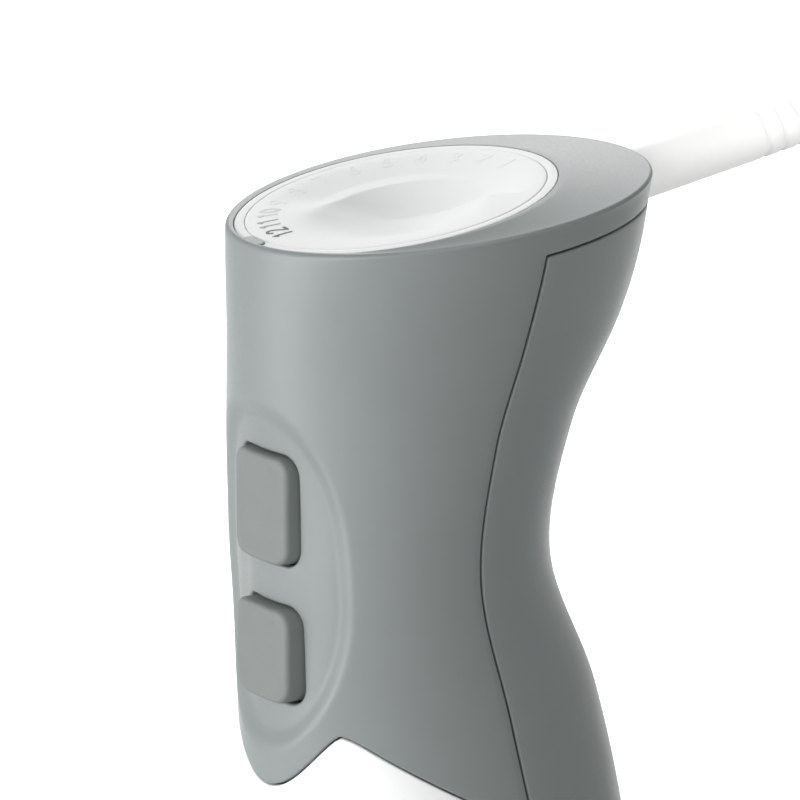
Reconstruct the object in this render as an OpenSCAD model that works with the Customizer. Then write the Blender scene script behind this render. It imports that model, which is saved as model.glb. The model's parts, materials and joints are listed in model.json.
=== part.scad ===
// Immersion blender: a motor unit with a rotary speed dial, two push buttons and
// side release buttons, on a click-off foot with a bell guard and a blade.
// Origin on the shaft axis at the bell's rim. +Z runs up the shaft, -Y is the button side.

/* [Overall] */
// Height of the top surface on the shaft axis
top_z = 386; // [384:1:388]
// Height of the motor unit's lower end
unit_bottom = 168; // [167.9:0.1:168.1]
// Wall thickness of the plastic shells
wall = 1.8; // [1.6:0.1:1.9]

/* [Top] */
// Rise of the top surface per millimetre towards the rear
top_slope = 0.135; // [0.13:0.005:0.14]
// Rise of the dial's face per millimetre towards the rear
dial_slope = 0.19; // [0.18:0.005:0.2]
// Height of the dial's face above the top edge, on the shaft axis
dial_rise = 1.3; // [1.2:0.1:1.4]
// Radius of the rounded edge around the top
rim_r = 1; // [0.8:0.1:1.2]
// Height of the band between the top edge and the rear grip
band_h = 4.3; // [4:0.1:4.6]
// Radius of the dial
dial_r = 22.6; // [22.2:0.1:22.6]
// Distance of the dial's centre in front of the shaft axis
dial_front = 6.6; // [6.5:0.1:6.7]

/* [Buttons] */
// Depth of the recess that the buttons sit in
recess_depth = 2.6; // [2:0.1:2.8]
// Half the width of a push button
button_half_w = 7.2; // [6.8:0.1:7.2]
// Travel of a release button
release_travel = 2.5; // [2:0.1:2.5]

/* [Foot] */
// Outer radius of the bell guard
bell_r = 32; // [31:0.5:33]
// Outer radius of the foot's tube
tube_r = 10.5; // [10.5:0.1:10.6]
// Radius that the blade's tips sweep
blade_r = 22; // [20:0.5:23]

/* [Cord] */
// Radius of the mains lead
cord_r = 3.4; // [3.2:0.1:3.5]

/* [Hidden] */
$fn = 64;
grey = [0.55, 0.57, 0.57];
white = [0.95, 0.95, 0.95];
steel = [0.75, 0.76, 0.78];
copper = [0.75, 0.42, 0.22];
tilt = atan(dial_slope);
dial_y = -dial_front;
// Radii of the bezel, of its skirt under the shell's edge, and of the opening
bezel_r = 23.9;
bezel_skirt_r = 23.3;
open_r = 24.3;
// Gap that is left between shells
gap = 0.3;
// Recess round the push buttons: half width, half height, and its centre below the top
recess_half_w = 17.6;
recess_half_h = 27;
recess_drop = 54;
// Outline of the motor unit: height, half width, front, rear
profile = [
    [unit_bottom, 24, -24, 24],
    [unit_bottom + 22, 28, -28, 28],
    [226, 29.8, -29.8, 29.8],
    [250, 30, -30, 30],
    [top_z - 112, 29.9, -29.9, 29.9],
    [top_z - 98, 29.7, -29.1, 29.2],
    [top_z - 75, 25.8, -30.4, 24.6],
    [top_z - 53, 25.3, -31.8, 15.8],
    [top_z - 33, 26, -31.7, 19.8],
    [top_z - 18, 27.1, -31.8, 28.4],
    [top_z - 8, 28.9, -31.6, 31.6],
    [top_z + 4, 31.3, -30.8, 32.9]];
stations = len(profile) - 1;
// Angles of the shell's columns from the front to one side and on to the rear
side_angles = [0, 9, 16, 22, 28, 34, 42, 54, 66, 75, 90, 105, 118, 132, 148, 161, 170];
angles = concat([for (k = [len(side_angles) - 1 : -1 : 1]) -side_angles[k]], side_angles);
// Push buttons: heights of their lower and upper hole edges
turbo_hole = [top_z - 73, top_z - 58];
on_hole = [top_z - 52, top_z - 35];
turbo_mid = (turbo_hole[0] + turbo_hole[1]) / 2;
on_mid = (on_hole[0] + on_hole[1]) / 2;
hole_half_angle = 22;
// Release buttons: middle height, and heights of their hole edges
release_z = unit_bottom + 20;
release_hole = [release_z - 9, release_z + 9];
// Motor: heights of the lamination stack
stack = [232, 262];
air_gap_r = 15.3;
shaft_r = 3;
// Latches: spigot, socket bore and socket outer radii
spigot_r = 15;
socket_r = 15.2;
socket_outer_r = 17;
// Where the lead leaves the rear, and where its strain relief ends
exit = [0, 34, top_z - 1.3];
relief_end_y = 72;
relief_dir = [0, 1, 0.184];
relief_end = exit + (relief_end_y - exit[1]) * relief_dir;
// Route of the lead from the strain relief to the coil
route = [relief_end, [0, 84, 393.3], [0, 97, 392.4], [-1, 108.5, 387], [-3, 118.5, 377.5],
    [-5, 126, 364.5], [-8, 131, 348], [-11, 134.5, 329], [-14, 137, 309], [-17, 138, 289],
    [-20, 139, 270], [-23, 139, 251], [-26, 139, 232], [-29, 139, 213], [-31, 139, 194],
    [-34, 138, 175], [-36, 138, 156], [-38, 137, 137], [-39, 137, 118], [-40, 136, 99],
    [-40, 136, 80], [-40, 136, 64], [-40, 136, 50], [-37, 136, 35], [-28, 136, 22],
    [-15, 136, 13], [0, 136, 10]];
// The stored coil: centre, middle radius and the number of turns side by side
coil_y = 95;
coil_r = 37.5;
coil_half = 2 * cord_r;
// The plug lies beside the coil with its pins towards -X
plug_y = 54;
plug_face_x = -78;
plug_tail_x = -42;
plug_h = 13.7;
pin_half_gap = 9.3;

function smooth(a, b, v) =
    let (t = min(1, max(0, (v - a) / (b - a)))) t * t * (3 - 2 * t);

// Smooth curve through the profile's stations, for column c at height z
function station(z, i = 0) =
    (i >= stations - 1 || z < profile[i + 1][0]) ? i : station(z, i + 1);
function rate(i, c) =
    let (lo = max(i - 1, 0), hi = min(i + 1, stations))
    (profile[hi][c] - profile[lo][c]) / (profile[hi][0] - profile[lo][0]);
function at(z, c) =
    let (i = station(z), h = profile[i + 1][0] - profile[i][0],
        t = (z - profile[i][0]) / h, s = t * t * (3 - 2 * t))
    profile[i][c] * (1 - s) + profile[i + 1][c] * s
    + h * rate(i, c) * t * (1 - t) * (1 - t) - h * rate(i + 1, c) * t * t * (1 - t);

// Depth of the button recess at a place on the front
function recess(x, z) =
    let (e = norm([x / recess_half_w, (z - (top_z - recess_drop)) / recess_half_h]))
    recess_depth * (1 - smooth(0.72, 1, e));
// A point on the motor unit's side, moved inwards by inset
function side_point(a, z, inset) =
    let (f = at(z, 2), r = at(z, 3),
        dip = abs(a) < 80 ? recess(at(z, 1) * sin(a), z) : 0, in = inset + dip)
    [(at(z, 1) - in) * sin(a), (f + r) / 2 - ((r - f) / 2 - in) * cos(a), z];
function top_at(y) = top_z + top_slope * y;
function dial_at(y) = top_z + dial_rise + dial_slope * y;
function edge_z(a) = top_at(side_point(a, top_at(side_point(a, top_z, 0)[1]), 0)[1]);
// Line between the grey shell and the white body: a dip below the recess, then a slope
function joint_z(a) =
    let (b = abs(a))
    top_z - 76
    - (b < 36 ? 10 * pow((1 + cos(180 * b / 36)) / 2, 0.75)
        : b < 90 ? 15 * (b - 36) / 54 : 15 + 11.5 * sin(b - 90));
function lerp(p, q, t) = p + (q - p) * t;

// A closed shell from outer and inner point grids. shown(i, j) says which cells exist.
module grid_shell(outer, inner, shown, wrap) {
    n = len(outer);
    m = len(outer[0]);
    last = wrap ? n : n - 1;
    function o(i, j) = (i % n) * m + j;
    function k(i, j) = n * m + o(i, j);
    function there(i, j) =
        j >= 0 && j < m - 1 && (wrap || (i >= 0 && i < n - 1)) && shown[(i + n) % n][j];
    function quad(a, b, c, d) = [[a, b, c], [a, c, d]];
    faces = [for (i = [0 : last - 1]) for (j = [0 : m - 2]) if (there(i, j))
        for (f = concat(
            quad(o(i, j), o(i, j + 1), o(i + 1, j + 1), o(i + 1, j)),
            quad(k(i, j), k(i + 1, j), k(i + 1, j + 1), k(i, j + 1)),
            there(i, j - 1) ? [] : quad(o(i, j), o(i + 1, j), k(i + 1, j), k(i, j)),
            there(i, j + 1) ? []
                : quad(o(i + 1, j + 1), o(i, j + 1), k(i, j + 1), k(i + 1, j + 1)),
            there(i - 1, j) ? [] : quad(o(i, j + 1), o(i, j), k(i, j), k(i, j + 1)),
            there(i + 1, j) ? []
                : quad(o(i + 1, j), o(i + 1, j + 1), k(i + 1, j + 1), k(i + 1, j)))) f];
    polyhedron([for (col = outer) each col, for (col = inner) each col], faces);
}

// Upper housing: heights of the fixed rows between the joint line and the band
upper_rows = [top_z - 75, turbo_hole[0], top_z - 68, top_z - 63, turbo_hole[1], on_hole[0],
    top_z - 46, top_z - 40, on_hole[1], top_z - 28.5, top_z - 22, top_z - 16];
low_rows = 3;
// Half gap of the seams at the sides, and where the lead's notch starts
seam_gap_angle = 0.7;
notch_angle = 170;
band_row = low_rows + len(upper_rows);
function upper_side_z(a) = concat(
    [for (k = [0 : low_rows - 1]) lerp(joint_z(a), upper_rows[0], k / low_rows)],
    upper_rows, [edge_z(a) - band_h]);
function rim_point(a, inset, drop) =
    let (p = side_point(a, edge_z(a), inset)) [p[0], p[1], top_at(p[1]) - drop];
function hole_point(a, drop) =
    let (y = dial_y - open_r * cos(tilt) * cos(a))
    [open_r * sin(a), y + drop * dial_slope, max(top_at(y), dial_at(y)) - drop];
function upper_outer(a) = concat(
    [for (z = upper_side_z(a)) side_point(a, z, 0)],
    [for (t = [0, 30, 60, 90]) rim_point(a, rim_r * (1 - cos(t)), rim_r * (1 - sin(t)))],
    [for (t = [0.35, 0.7, 1]) lerp(rim_point(a, rim_r, 0), hole_point(a, 0), t)]);
function upper_inner(a) = concat(
    [for (z = upper_side_z(a)) side_point(a, z, wall)],
    [for (t = [0 : 3]) rim_point(a, wall + 0.07 * t, wall + 0.6 - 0.2 * t)],
    [for (t = [0.35, 0.7, 1])
        lerp(rim_point(a, wall + 0.21, wall), hole_point(a, wall), t)]);
function upper_shown(i, j) =
    let (a = angles[i], b = i + 1 < len(angles) ? angles[i + 1] : 190,
        front = a >= -90 && b <= 90, z = j >= low_rows && j < band_row ? upper_rows[j - low_rows] : 0,
        in_hole = a >= -hole_half_angle && b <= hole_half_angle
            && ((z >= turbo_hole[0] && z < turbo_hole[1]) || (z >= on_hole[0] && z < on_hole[1])),
        in_notch = a == notch_angle && j == band_row)
    (j >= band_row || front) && !in_hole && !in_notch;
module upper_housing() {
    rows = len(upper_outer(0));
    color(grey) grid_shell(
        [for (a = angles) upper_outer(a)], [for (a = angles) upper_inner(a)],
        [for (i = [0 : len(angles) - 1]) [for (j = [0 : rows - 2]) upper_shown(i, j)]], true);
}

// Rear grip: from one side seam round the rear to the other
grip_angles = concat([90 + seam_gap_angle], [for (k = [11 : 16]) side_angles[k]],
    [for (k = [16 : -1 : 11]) 360 - side_angles[k]], [270 - seam_gap_angle]);
notch_z = exit[2] - 5.4;
function grip_column(a, inset) =
    let (s = a > 180 ? a - 360 : a, z0 = joint_z(s), z1 = edge_z(s) - band_h - gap)
    [for (z = concat([for (k = [0 : 11]) lerp(z0, notch_z, k / 11)], [z1]))
        side_point(s, z, inset)];
module rear_grip() {
    color(grey * 0.95) grid_shell(
        [for (a = grip_angles) grip_column(a, 0)], [for (a = grip_angles) grip_column(a, wall)],
        [for (a = grip_angles) [for (j = [0 : 11]) !(a == notch_angle && j == 11)]], false);
}

// Motor housing: the white body with release button holes and rear air slots
housing_rows = [unit_bottom, unit_bottom + 5, release_hole[0], release_z, release_hole[1],
    205, 214, 218, 222, 226, 230, 234, 246, 258, 272];
slot_starts = [214, 222, 230];
function housing_column(a, inset) =
    [for (z = concat(housing_rows,
        [for (k = [1 : 3]) lerp(housing_rows[14], joint_z(a) - gap, k / 3)]))
        side_point(a, z, inset)];
function housing_shown(i, j) =
    let (a = angles[i], b = i + 1 < len(angles) ? angles[i + 1] : 190,
        z = j < len(housing_rows) ? housing_rows[j] : 0,
        at_side = min(abs(a), abs(b)) >= 75 && max(abs(a), abs(b)) <= 105,
        at_rear = a >= 161 || b <= -161)
    !(at_side && z >= release_hole[0] && z < release_hole[1])
    && !(at_rear && len(search(z, slot_starts)) > 0);
module motor_housing() {
    rows = len(housing_rows) + 3;
    color(white) grid_shell(
        [for (a = angles) housing_column(a, 0)], [for (a = angles) housing_column(a, wall)],
        [for (i = [0 : len(angles) - 1]) [for (j = [0 : rows - 2]) housing_shown(i, j)]], true);
}

// A ring with the given radii between two heights
module ring(r_in, r_out, z0, z1) {
    difference() {
        translate([0, 0, z0]) cylinder(r = r_out, h = z1 - z0);
        translate([0, 0, z0 - 1]) cylinder(r = r_in, h = z1 - z0 + 2);
    }
}
module block(lo, hi) { translate(lo) cube(hi - lo); }
// The dial's own frame: origin at its centre on the top surface, z along its axis
module dial_frame() {
    translate([0, dial_y, dial_at(dial_y)]) rotate([tilt, 0, 0]) children();
}
// A coil spring along z: a round wire swept on a helix
module helix(r, wire_r, length, turns) {
    steps = turns * 10;
    function centre(k) = [r * cos(36 * k), r * sin(36 * k), wire_r + (length - 2 * wire_r) * k / steps];
    ring_points = [for (k = [0 : steps]) for (q = [0 : 4])
        centre(k) + wire_r * (cos(72 * q) * [cos(36 * k), sin(36 * k), 0] + sin(72 * q) * [0, 0, 1])];
    sides = [for (k = [0 : steps - 1]) for (q = [0 : 4])
        let (a = 5 * k + q, b = 5 * k + (q + 1) % 5) each [[a, b, b + 5], [a, b + 5, a + 5]]];
    polyhedron(ring_points,
        concat(sides, [[for (q = [4 : -1 : 0]) q]], [[for (q = [0 : 4]) 5 * steps + q]]));
}

/* Dial group */
module dial_bezel() {
    color(white) dial_frame() {
        difference() {
            union() {
                translate([0, 0, -6]) cylinder(r = bezel_skirt_r, h = 6);
                translate([0, 0, -1]) cylinder(r = bezel_r, h = 1.2);
            }
            translate([0, 0, -4.2]) cylinder(r = dial_r + gap, h = 6);
            translate([0, 0, -7]) cylinder(r = 5.06, h = 8);
        }
    }
}
module speed_dial() {
    scoop_r = 30;
    color(white) dial_frame() difference() {
        translate([0, 0, -3.8]) cylinder(r = dial_r, h = 4.2);
        translate([3, -1, scoop_r - 2.6]) sphere(r = scoop_r, $fn = 96);
    }
}
module dial_shaft() {
    color("dimgray") dial_frame() {
        translate([0, 0, -9]) cylinder(r = 5, h = 5.2);
        translate([0, 0, -14]) cylinder(r = shaft_r, h = 6);
    }
}
module potentiometer() {
    color("darkslategray") dial_frame() difference() {
        union() {
            translate([0, 0, -16]) cylinder(r = 8, h = 5);
            translate([0, 0, -11]) cylinder(r = 4.5, h = 1.6);
        }
        translate([0, 0, -14.5]) cylinder(r = shaft_r + 0.05, h = 10);
    }
}
module dial_board() {
    color("seagreen") dial_frame() difference() {
        block([-15, -13, -17.7], [15, 13, -16.1]);
        for (x = [-12.5, 12.5]) translate([x, 0, -18]) cylinder(r = 1.1, h = 3);
    }
}

/* Push buttons and control board */
stem_r = 2;
module push_button(mid, hole, shade) {
    h = hole[1] - hole[0] - 0.8;
    color(shade) difference() {
        union() {
            intersection() {
                block([-button_half_w, -32, mid - h / 2], [button_half_w, -24.4, mid + h / 2]);
                translate([0, -1.3, mid - h / 2 - 1]) cylinder(r = 29.8, h = h + 2);
            }
            block([-9, -24.4, mid - h / 2 - 1.2], [9, -23.2, mid + h / 2 + 1.2]);
            translate([0, -24, mid]) rotate([-90, 0, 0]) cylinder(r = stem_r, h = 7);
        }
        translate([0, -71, mid]) rotate([0, 90, 0]) cylinder(r = 40.6, h = 30, center = true);
    }
}
module on_button() { push_button(on_mid, on_hole, grey); }
module turbo_button() { push_button(turbo_mid, turbo_hole, grey); }
module button_spring(mid) {
    color(steel) translate([0, -23.2, mid]) rotate([-90, 0, 0]) helix(3.1, 0.35, 4.6, 4);
}
module on_spring() { button_spring(on_mid); }
module turbo_spring() { button_spring(turbo_mid); }
module button_plate() {
    color("lightgray") {
        difference() {
            block([-13, -18.6, top_z - 81], [13, -17.2, top_z - 31]);
            for (z = [on_mid, turbo_mid])
                translate([0, -20, z]) rotate([-90, 0, 0]) cylinder(r = stem_r + 0.15, h = 4);
        }
        for (x = [-11, 11]) for (z = [top_z - 78, top_z - 34])
            translate([x, -17.2, z]) rotate([-90, 0, 0]) cylinder(r = 1.6, h = 9.2);
    }
}
module switches() {
    color("black") for (z = [on_mid, turbo_mid]) {
        block([-6.4, -14, z - 3], [6.4, -8, z + 3]);
        translate([0, -14.6, z]) rotate([-90, 0, 0]) cylinder(r = 1, h = 1);
    }
}
module control_board() {
    color("seagreen") difference() {
        block([-15, -8, top_z - 84], [15, -6.4, top_z - 24]);
        for (x = [-12, 12]) for (z = [top_z - 72, top_z - 28])
            translate([x, -9, z]) rotate([-90, 0, 0]) cylinder(r = 1.2, h = 4);
    }
}
module board_parts() {
    // Capacitor, choke, resistors, and a triac with its heat sink
    color("orange") translate([-7, -6.4, top_z - 44]) rotate([-90, 0, 0]) cylinder(r = 5, h = 13);
    color("saddlebrown") translate([7, -6.3, top_z - 44]) rotate([-90, 0, 0]) ring(2.4, 6, 0, 6);
    color("silver") for (x = [2 : 3 : 11]) block([x, -6.4, top_z - 68], [x + 1.4, 4, top_z - 54]);
    color("black") block([-10, -6.4, top_z - 66], [-1, -2, top_z - 56]);
    color("tan") for (z = [top_z - 76, top_z - 72])
        translate([-8, -5, z]) rotate([0, 90, 0]) cylinder(r = 1.2, h = 7);
}

/* Inner leads */
// A tube swept along a list of points, its first ring square to the given direction
module swept_tube(points, r, sides, first) {
    n = len(points);
    function heading(k) =
        let (d = k == 0 ? first : points[min(k + 1, n - 1)] - points[k - 1]) d / norm(d);
    function ring_at(k) =
        let (d = heading(k), u = cross(d, [1, 0, 0]) / norm(cross(d, [1, 0, 0])), v = cross(d, u))
        [for (q = [0 : sides - 1])
            points[k] + r * (cos(360 * q / sides) * u + sin(360 * q / sides) * v)];
    skin = [for (k = [0 : n - 2]) for (q = [0 : sides - 1])
        let (a = sides * k + q, b = sides * k + (q + 1) % sides)
        each [[a, b + sides, b], [a, a + sides, b + sides]]];
    polyhedron([for (k = [0 : n - 1]) each ring_at(k)],
        concat(skin, [[for (q = [0 : sides - 1]) q]],
            [[for (q = [sides - 1 : -1 : 0]) sides * (n - 1) + q]]));
}
module lead_wires() {
    sides = 6;
    for (s = [-1, 1]) {
        mains = [[s * 2.2, 26.2, 381.5], [s * 2.2, 18.5, 378.7], [s * 2.4, 13, 371], [s * 3, 9, 362], [s * 3, 2, 356],
            [s * 3, -6.2, 354]];
        motor = [[s * 12, -6.1, 305], [s * 10.5, 2, 303], [s * 6.5, 12, 298], [s * 4.5, 17.5, 292],
            [s * 4, 18.2, 284], [s * 5, 18.4, 277], [s * 6, 18, 269.5]];
        color(s > 0 ? "saddlebrown" : "steelblue") swept_tube(mains, 1, sides, mains[1] - mains[0]);
        color("black") swept_tube(motor, 0.9, sides, motor[1] - motor[0]);
    }
}

/* Lead, strain relief and plug */
module strain_relief() {
    slant = [-90 + atan(relief_dir[2]), 0, 0];
    color(white) difference() {
        union() {
            translate(exit) rotate(slant) translate([0, 0, -7]) cylinder(r = 4, h = 9);
            translate(exit) rotate(slant) translate([0, 0, 2])
                cylinder(r1 = 4, r2 = 3.75, h = norm(relief_end - exit) - 2);
            intersection() {
                translate(exit) rotate(slant) translate([0, 0, -7]) cylinder(r = 5.6, h = 1.2);
                block([-8, 20, 372], [8, 36, 384.6]);
            }
        }
        for (k = [0 : 3]) translate(exit) rotate(slant)
            translate([0, 0, 26 + 3 * k]) ring(3.6, 6, 0, 0.8);
    }
}
module cord_clamp() {
    color("dimgray") difference() {
        block([-8, 21.5, 374.6], [8, 26.5, 377.6]);
        for (x = [-5.5, 5.5]) translate([x, 24, 372]) cylinder(r = 1.2, h = 8);
    }
    color(steel) for (x = [-5.5, 5.5]) translate([x, 24, 372.9]) {
        cylinder(r = 2.2, h = 1.7);
        cylinder(r = 1.1, h = 6);
    }
}
module cord_tube() { color(white) swept_tube(route, cord_r, 10, relief_dir); }
module cord_coil() {
    w = coil_half;
    c = 2;
    color(white) translate([0, coil_y, 0]) rotate_extrude($fn = 96)
        polygon([[coil_r - w, c], [coil_r - w + c, 0], [coil_r + w - c, 0], [coil_r + w, c],
            [coil_r + w, 2 * w - c], [coil_r + w - c, 2 * w], [coil_r - w + c, 2 * w],
            [coil_r - w, 2 * w - c]]);
}
module cord_tie() {
    w = coil_half;
    color("dimgray") translate([coil_r, coil_y, 0]) difference() {
        block([-w - 0.9, -4, 0], [w + 0.9, 4, 2 * w + 0.9]);
        block([-w, -5, 0.6], [w, 5, 2 * w]);
    }
}
module plug_body() {
    mid = plug_h / 2;
    color(white) {
        translate([0, plug_y, 0]) linear_extrude(plug_h)
            polygon([[plug_face_x, -16.8], [plug_face_x, 16.8], [plug_face_x + 14, 16.8],
                [plug_face_x + 22, 12], [plug_tail_x, 6.5], [plug_tail_x, -6.5],
                [plug_face_x + 22, -12], [plug_face_x + 14, -16.8]]);
        translate([plug_tail_x, plug_y, mid]) rotate([0, 90, 0])
            cylinder(r1 = 5, r2 = 4, h = 17);
    }
}
module plug_pins() {
    color(steel) for (s = [-1, 1])
        translate([plug_face_x, plug_y + s * pin_half_gap, plug_h / 2]) rotate([0, -90, 0]) {
            cylinder(r = 2, h = 18);
            translate([0, 0, 18]) cylinder(r1 = 2, r2 = 1.2, h = 1);
        }
}

/* Motor */
// A wedge around +X of the given half angle
module wedge(half) {
    polygon(concat([[0, 0]], [for (t = [-half : half / 3 : half]) 60 * [cos(t), sin(t)]]));
}
module motor_screw_places() { for (t = [45 : 90 : 315]) rotate(t) translate([23.1, 0, 0]) children(); }
module stator_core() {
    color("slategray") translate([0, 0, stack[0]]) linear_extrude(stack[1] - stack[0])
        difference() {
            circle(25.2);
            circle(air_gap_r);
            for (t = [0, 180]) rotate(t) {
                intersection() {
                    difference() { circle(21); circle(16.8); }
                    wedge(54);
                }
                intersection() { circle(17.5); wedge(27); }
            }
            motor_screw_places() circle(1.7, $fn = 24);
        }
}
module field_coils() {
    color(copper) {
        ring(17.3, 20.6, 226, 231.6);
        ring(17.3, 20.6, 262.4, 268);
        for (t = [0, 180]) rotate(t) translate([0, 0, 231]) linear_extrude(32)
            intersection() {
                difference() { circle(20.4); circle(17.5); }
                wedge(50);
            }
    }
}
slots = 12;
core_r = 14.8;
module armature_core() {
    color("slategray") translate([0, 0, stack[0]]) linear_extrude(stack[1] - stack[0])
        difference() {
            circle(core_r);
            circle(shaft_r);
            for (k = [0 : slots - 1]) rotate(360 * k / slots) {
                translate([7.5, -1.3]) square([5.7, 2.6]);
                translate([13, -0.6]) square([3, 1.2]);
            }
        }
}
module armature_windings() {
    color(copper) {
        ring(4.2, 13.2, 224.6, 231.8);
        ring(4.2, 13.2, 262.2, 269.5);
        for (k = [0 : slots - 1]) rotate(360 * k / slots)
            block([7.8, -1.05, 231], [12.8, 1.05, 263]);
    }
}
module commutator() {
    color(copper) translate([0, 0, 271]) linear_extrude(13) difference() {
        circle(9);
        circle(shaft_r);
        for (k = [0 : slots - 1]) rotate(15 + 360 * k / slots)
            translate([8, -0.25]) square([2, 0.5]);
    }
}
module rotor_shaft() {
    color(steel) translate([0, 0, 192.7]) cylinder(r = shaft_r, h = 101.3);
}
module cooling_fan() {
    blades = 9;
    color("black") {
        ring(shaft_r, 21, 213.4, 214.6);
        ring(shaft_r, 6, 214.6, 222);
        for (k = [0 : blades - 1]) rotate(360 * k / blades)
            translate([5.6, 0, 214.5]) rotate(18) cube([15, 1.2, 7]);
    }
}
module bracket_plate(z0, z1, hole_r) {
    difference() {
        translate([0, 0, z0]) cylinder(r = 25.4, h = z1 - z0);
        translate([0, 0, z0 - 1]) cylinder(r = hole_r, h = z1 - z0 + 2);
        motor_screw_places() translate([0, 0, z0 - 1]) cylinder(r = 1.7, h = z1 - z0 + 2, $fn = 24);
        for (t = [0 : 90 : 270]) rotate(t) translate([0, 0, z0 - 1])
            linear_extrude(z1 - z0 + 2) intersection() {
                difference() { circle(21.5); circle(15); }
                wedge(20);
            }
    }
}
module upper_bracket() {
    color("silver") {
        bracket_plate(287, 290, 6);
        ring(6, 8, 290, 294);
        for (s = [-1, 1]) block([s * 18 - 3, -9, 283.1], [s * 18 + 3, -5, 287.5]);
        for (s = [-1, 1]) block([s * 18 - 3, 5, 283.1], [s * 18 + 3, 9, 287.5]);
    }
}
module upper_bush() { color("peru") ring(shaft_r + 0.03, 6, 287, 293.6); }
module lower_bracket() {
    color("silver") {
        bracket_plate(202.6, 205.6, 8);
        ring(9.5, 12, 205, 211.8);
    }
}
// Ball bearing: a groove in each ring, with the balls between them
ball_r = 1.7;
ball_path_r = 6.75;
module bearing_ring(r_in, r_out) {
    translate([0, 0, 206]) rotate_extrude($fn = 72) difference() {
        translate([r_in, 0]) square([r_out - r_in, 5.8]);
        translate([ball_path_r, 2.9]) circle(ball_r + 0.05, $fn = 48);
    }
}
module bearing_outer() { color(steel) bearing_ring(7.6, 9.5); }
module bearing_inner() { color(steel) bearing_ring(shaft_r, 5.9); }
module bearing_balls() {
    color("lightgray") for (k = [0 : 8]) rotate(40 * k)
        translate([ball_path_r, 0, 208.9]) sphere(r = ball_r, $fn = 24);
}
module brush_holders() {
    color("gold") for (t = [0, 180]) rotate(t) difference() {
        block([10.2, -4.1, 273], [24.2, 4.1, 283]);
        block([9, -3.1, 274], [23.2, 3.1, 282]);
    }
}
module carbon_brushes() {
    color("dimgray") for (t = [0, 180]) rotate(t) difference() {
        block([8, -3, 274.1], [17, 3, 281.9]);
        translate([0, 0, 273]) cylinder(r = 9.06, h = 12);
    }
}
module brush_springs() {
    color(steel) for (t = [0, 180]) rotate(t)
        translate([17.05, 0, 278]) rotate([0, 90, 0]) helix(2.3, 0.3, 6.1, 5);
}
module motor_screws() {
    color(steel) motor_screw_places() {
        translate([0, 0, 201]) cylinder(r = 1.5, h = 90, $fn = 24);
        translate([0, 0, 290.05]) cylinder(r = 3, h = 2);
        translate([0, 0, 200.8]) cylinder(r = 2.6, h = 1.7);
    }
}
module rubber_mount() { color("black") ring(25.3, 27.6, 243, 251); }

/* Drive coupling, socket and latches */
module star(r_low, r_high) {
    polygon([for (k = [0 : 11]) (k % 2 ? r_high : r_low) * [cos(30 * k), sin(30 * k)]]);
}
module drive_coupling() {
    color("black") difference() {
        translate([0, 0, 183]) cylinder(r = 8.5, h = 14.5);
        translate([0, 0, 182]) linear_extrude(10.5) star(5.4, 7.2);
        translate([0, 0, 190]) cylinder(r = shaft_r, h = 10);
    }
}
module coupling_socket() {
    color("lightgray") difference() {
        union() {
            ring(socket_r, socket_outer_r, unit_bottom + 0.3, 200);
            ring(socket_r, 21.8, unit_bottom + 0.3, unit_bottom + 2.3);
            ring(5, 25.6, 198, 200);
        }
        block([-20, -5.5, 183.4], [20, 5.5, 190.6]);
        for (t = [45 : 90 : 315]) rotate(t) translate([23.1, 0, 197]) cylinder(r = 1.7, h = 5);
    }
}
latch_r = 22;
// Lower edge of each latch plate
plate_z = [184, 187.6];
plate_h = 2.2;
stem_x = 27.2;
// A latch plate for the button on the +X side. Its nose is on the other side.
module latch(z0) {
    translate([0, 0, z0]) linear_extrude(plate_h) difference() {
        union() {
            difference() {
                circle(latch_r);
                circle(socket_outer_r + 0.3);
                translate([release_travel, 0]) circle(socket_outer_r + 0.3);
                translate([0, -socket_outer_r - 0.3])
                    square([release_travel, 2 * socket_outer_r + 0.6]);
            }
            translate([-21.5, -4]) square([8, 8]);
            translate([21, -4]) square([stem_x - 21, 8]);
        }
        circle(socket_r);
    }
}
module latch_right() { color(steel) latch(plate_z[0]); }
module latch_left() { color(steel) rotate(180) latch(plate_z[1]); }
module release_pad() {
    color(grey) translate([stem_x, 0, release_z]) rotate([90, 0, 90]) linear_extrude(2) {
        for (v = [-1.8, 1.8]) translate([0, v]) circle(6.5);
        square([13, 3.6], center = true);
    }
}
module release_right() { release_pad(); }
module release_left() { rotate(180) release_pad(); }
module latch_springs() {
    color(steel) for (t = [0, 180]) rotate(t)
        translate([socket_outer_r + 0.1, 0, 193.2]) rotate([0, 90, 0])
            helix(2, 0.35, stem_x - socket_outer_r - 0.2, 6);
}

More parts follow.
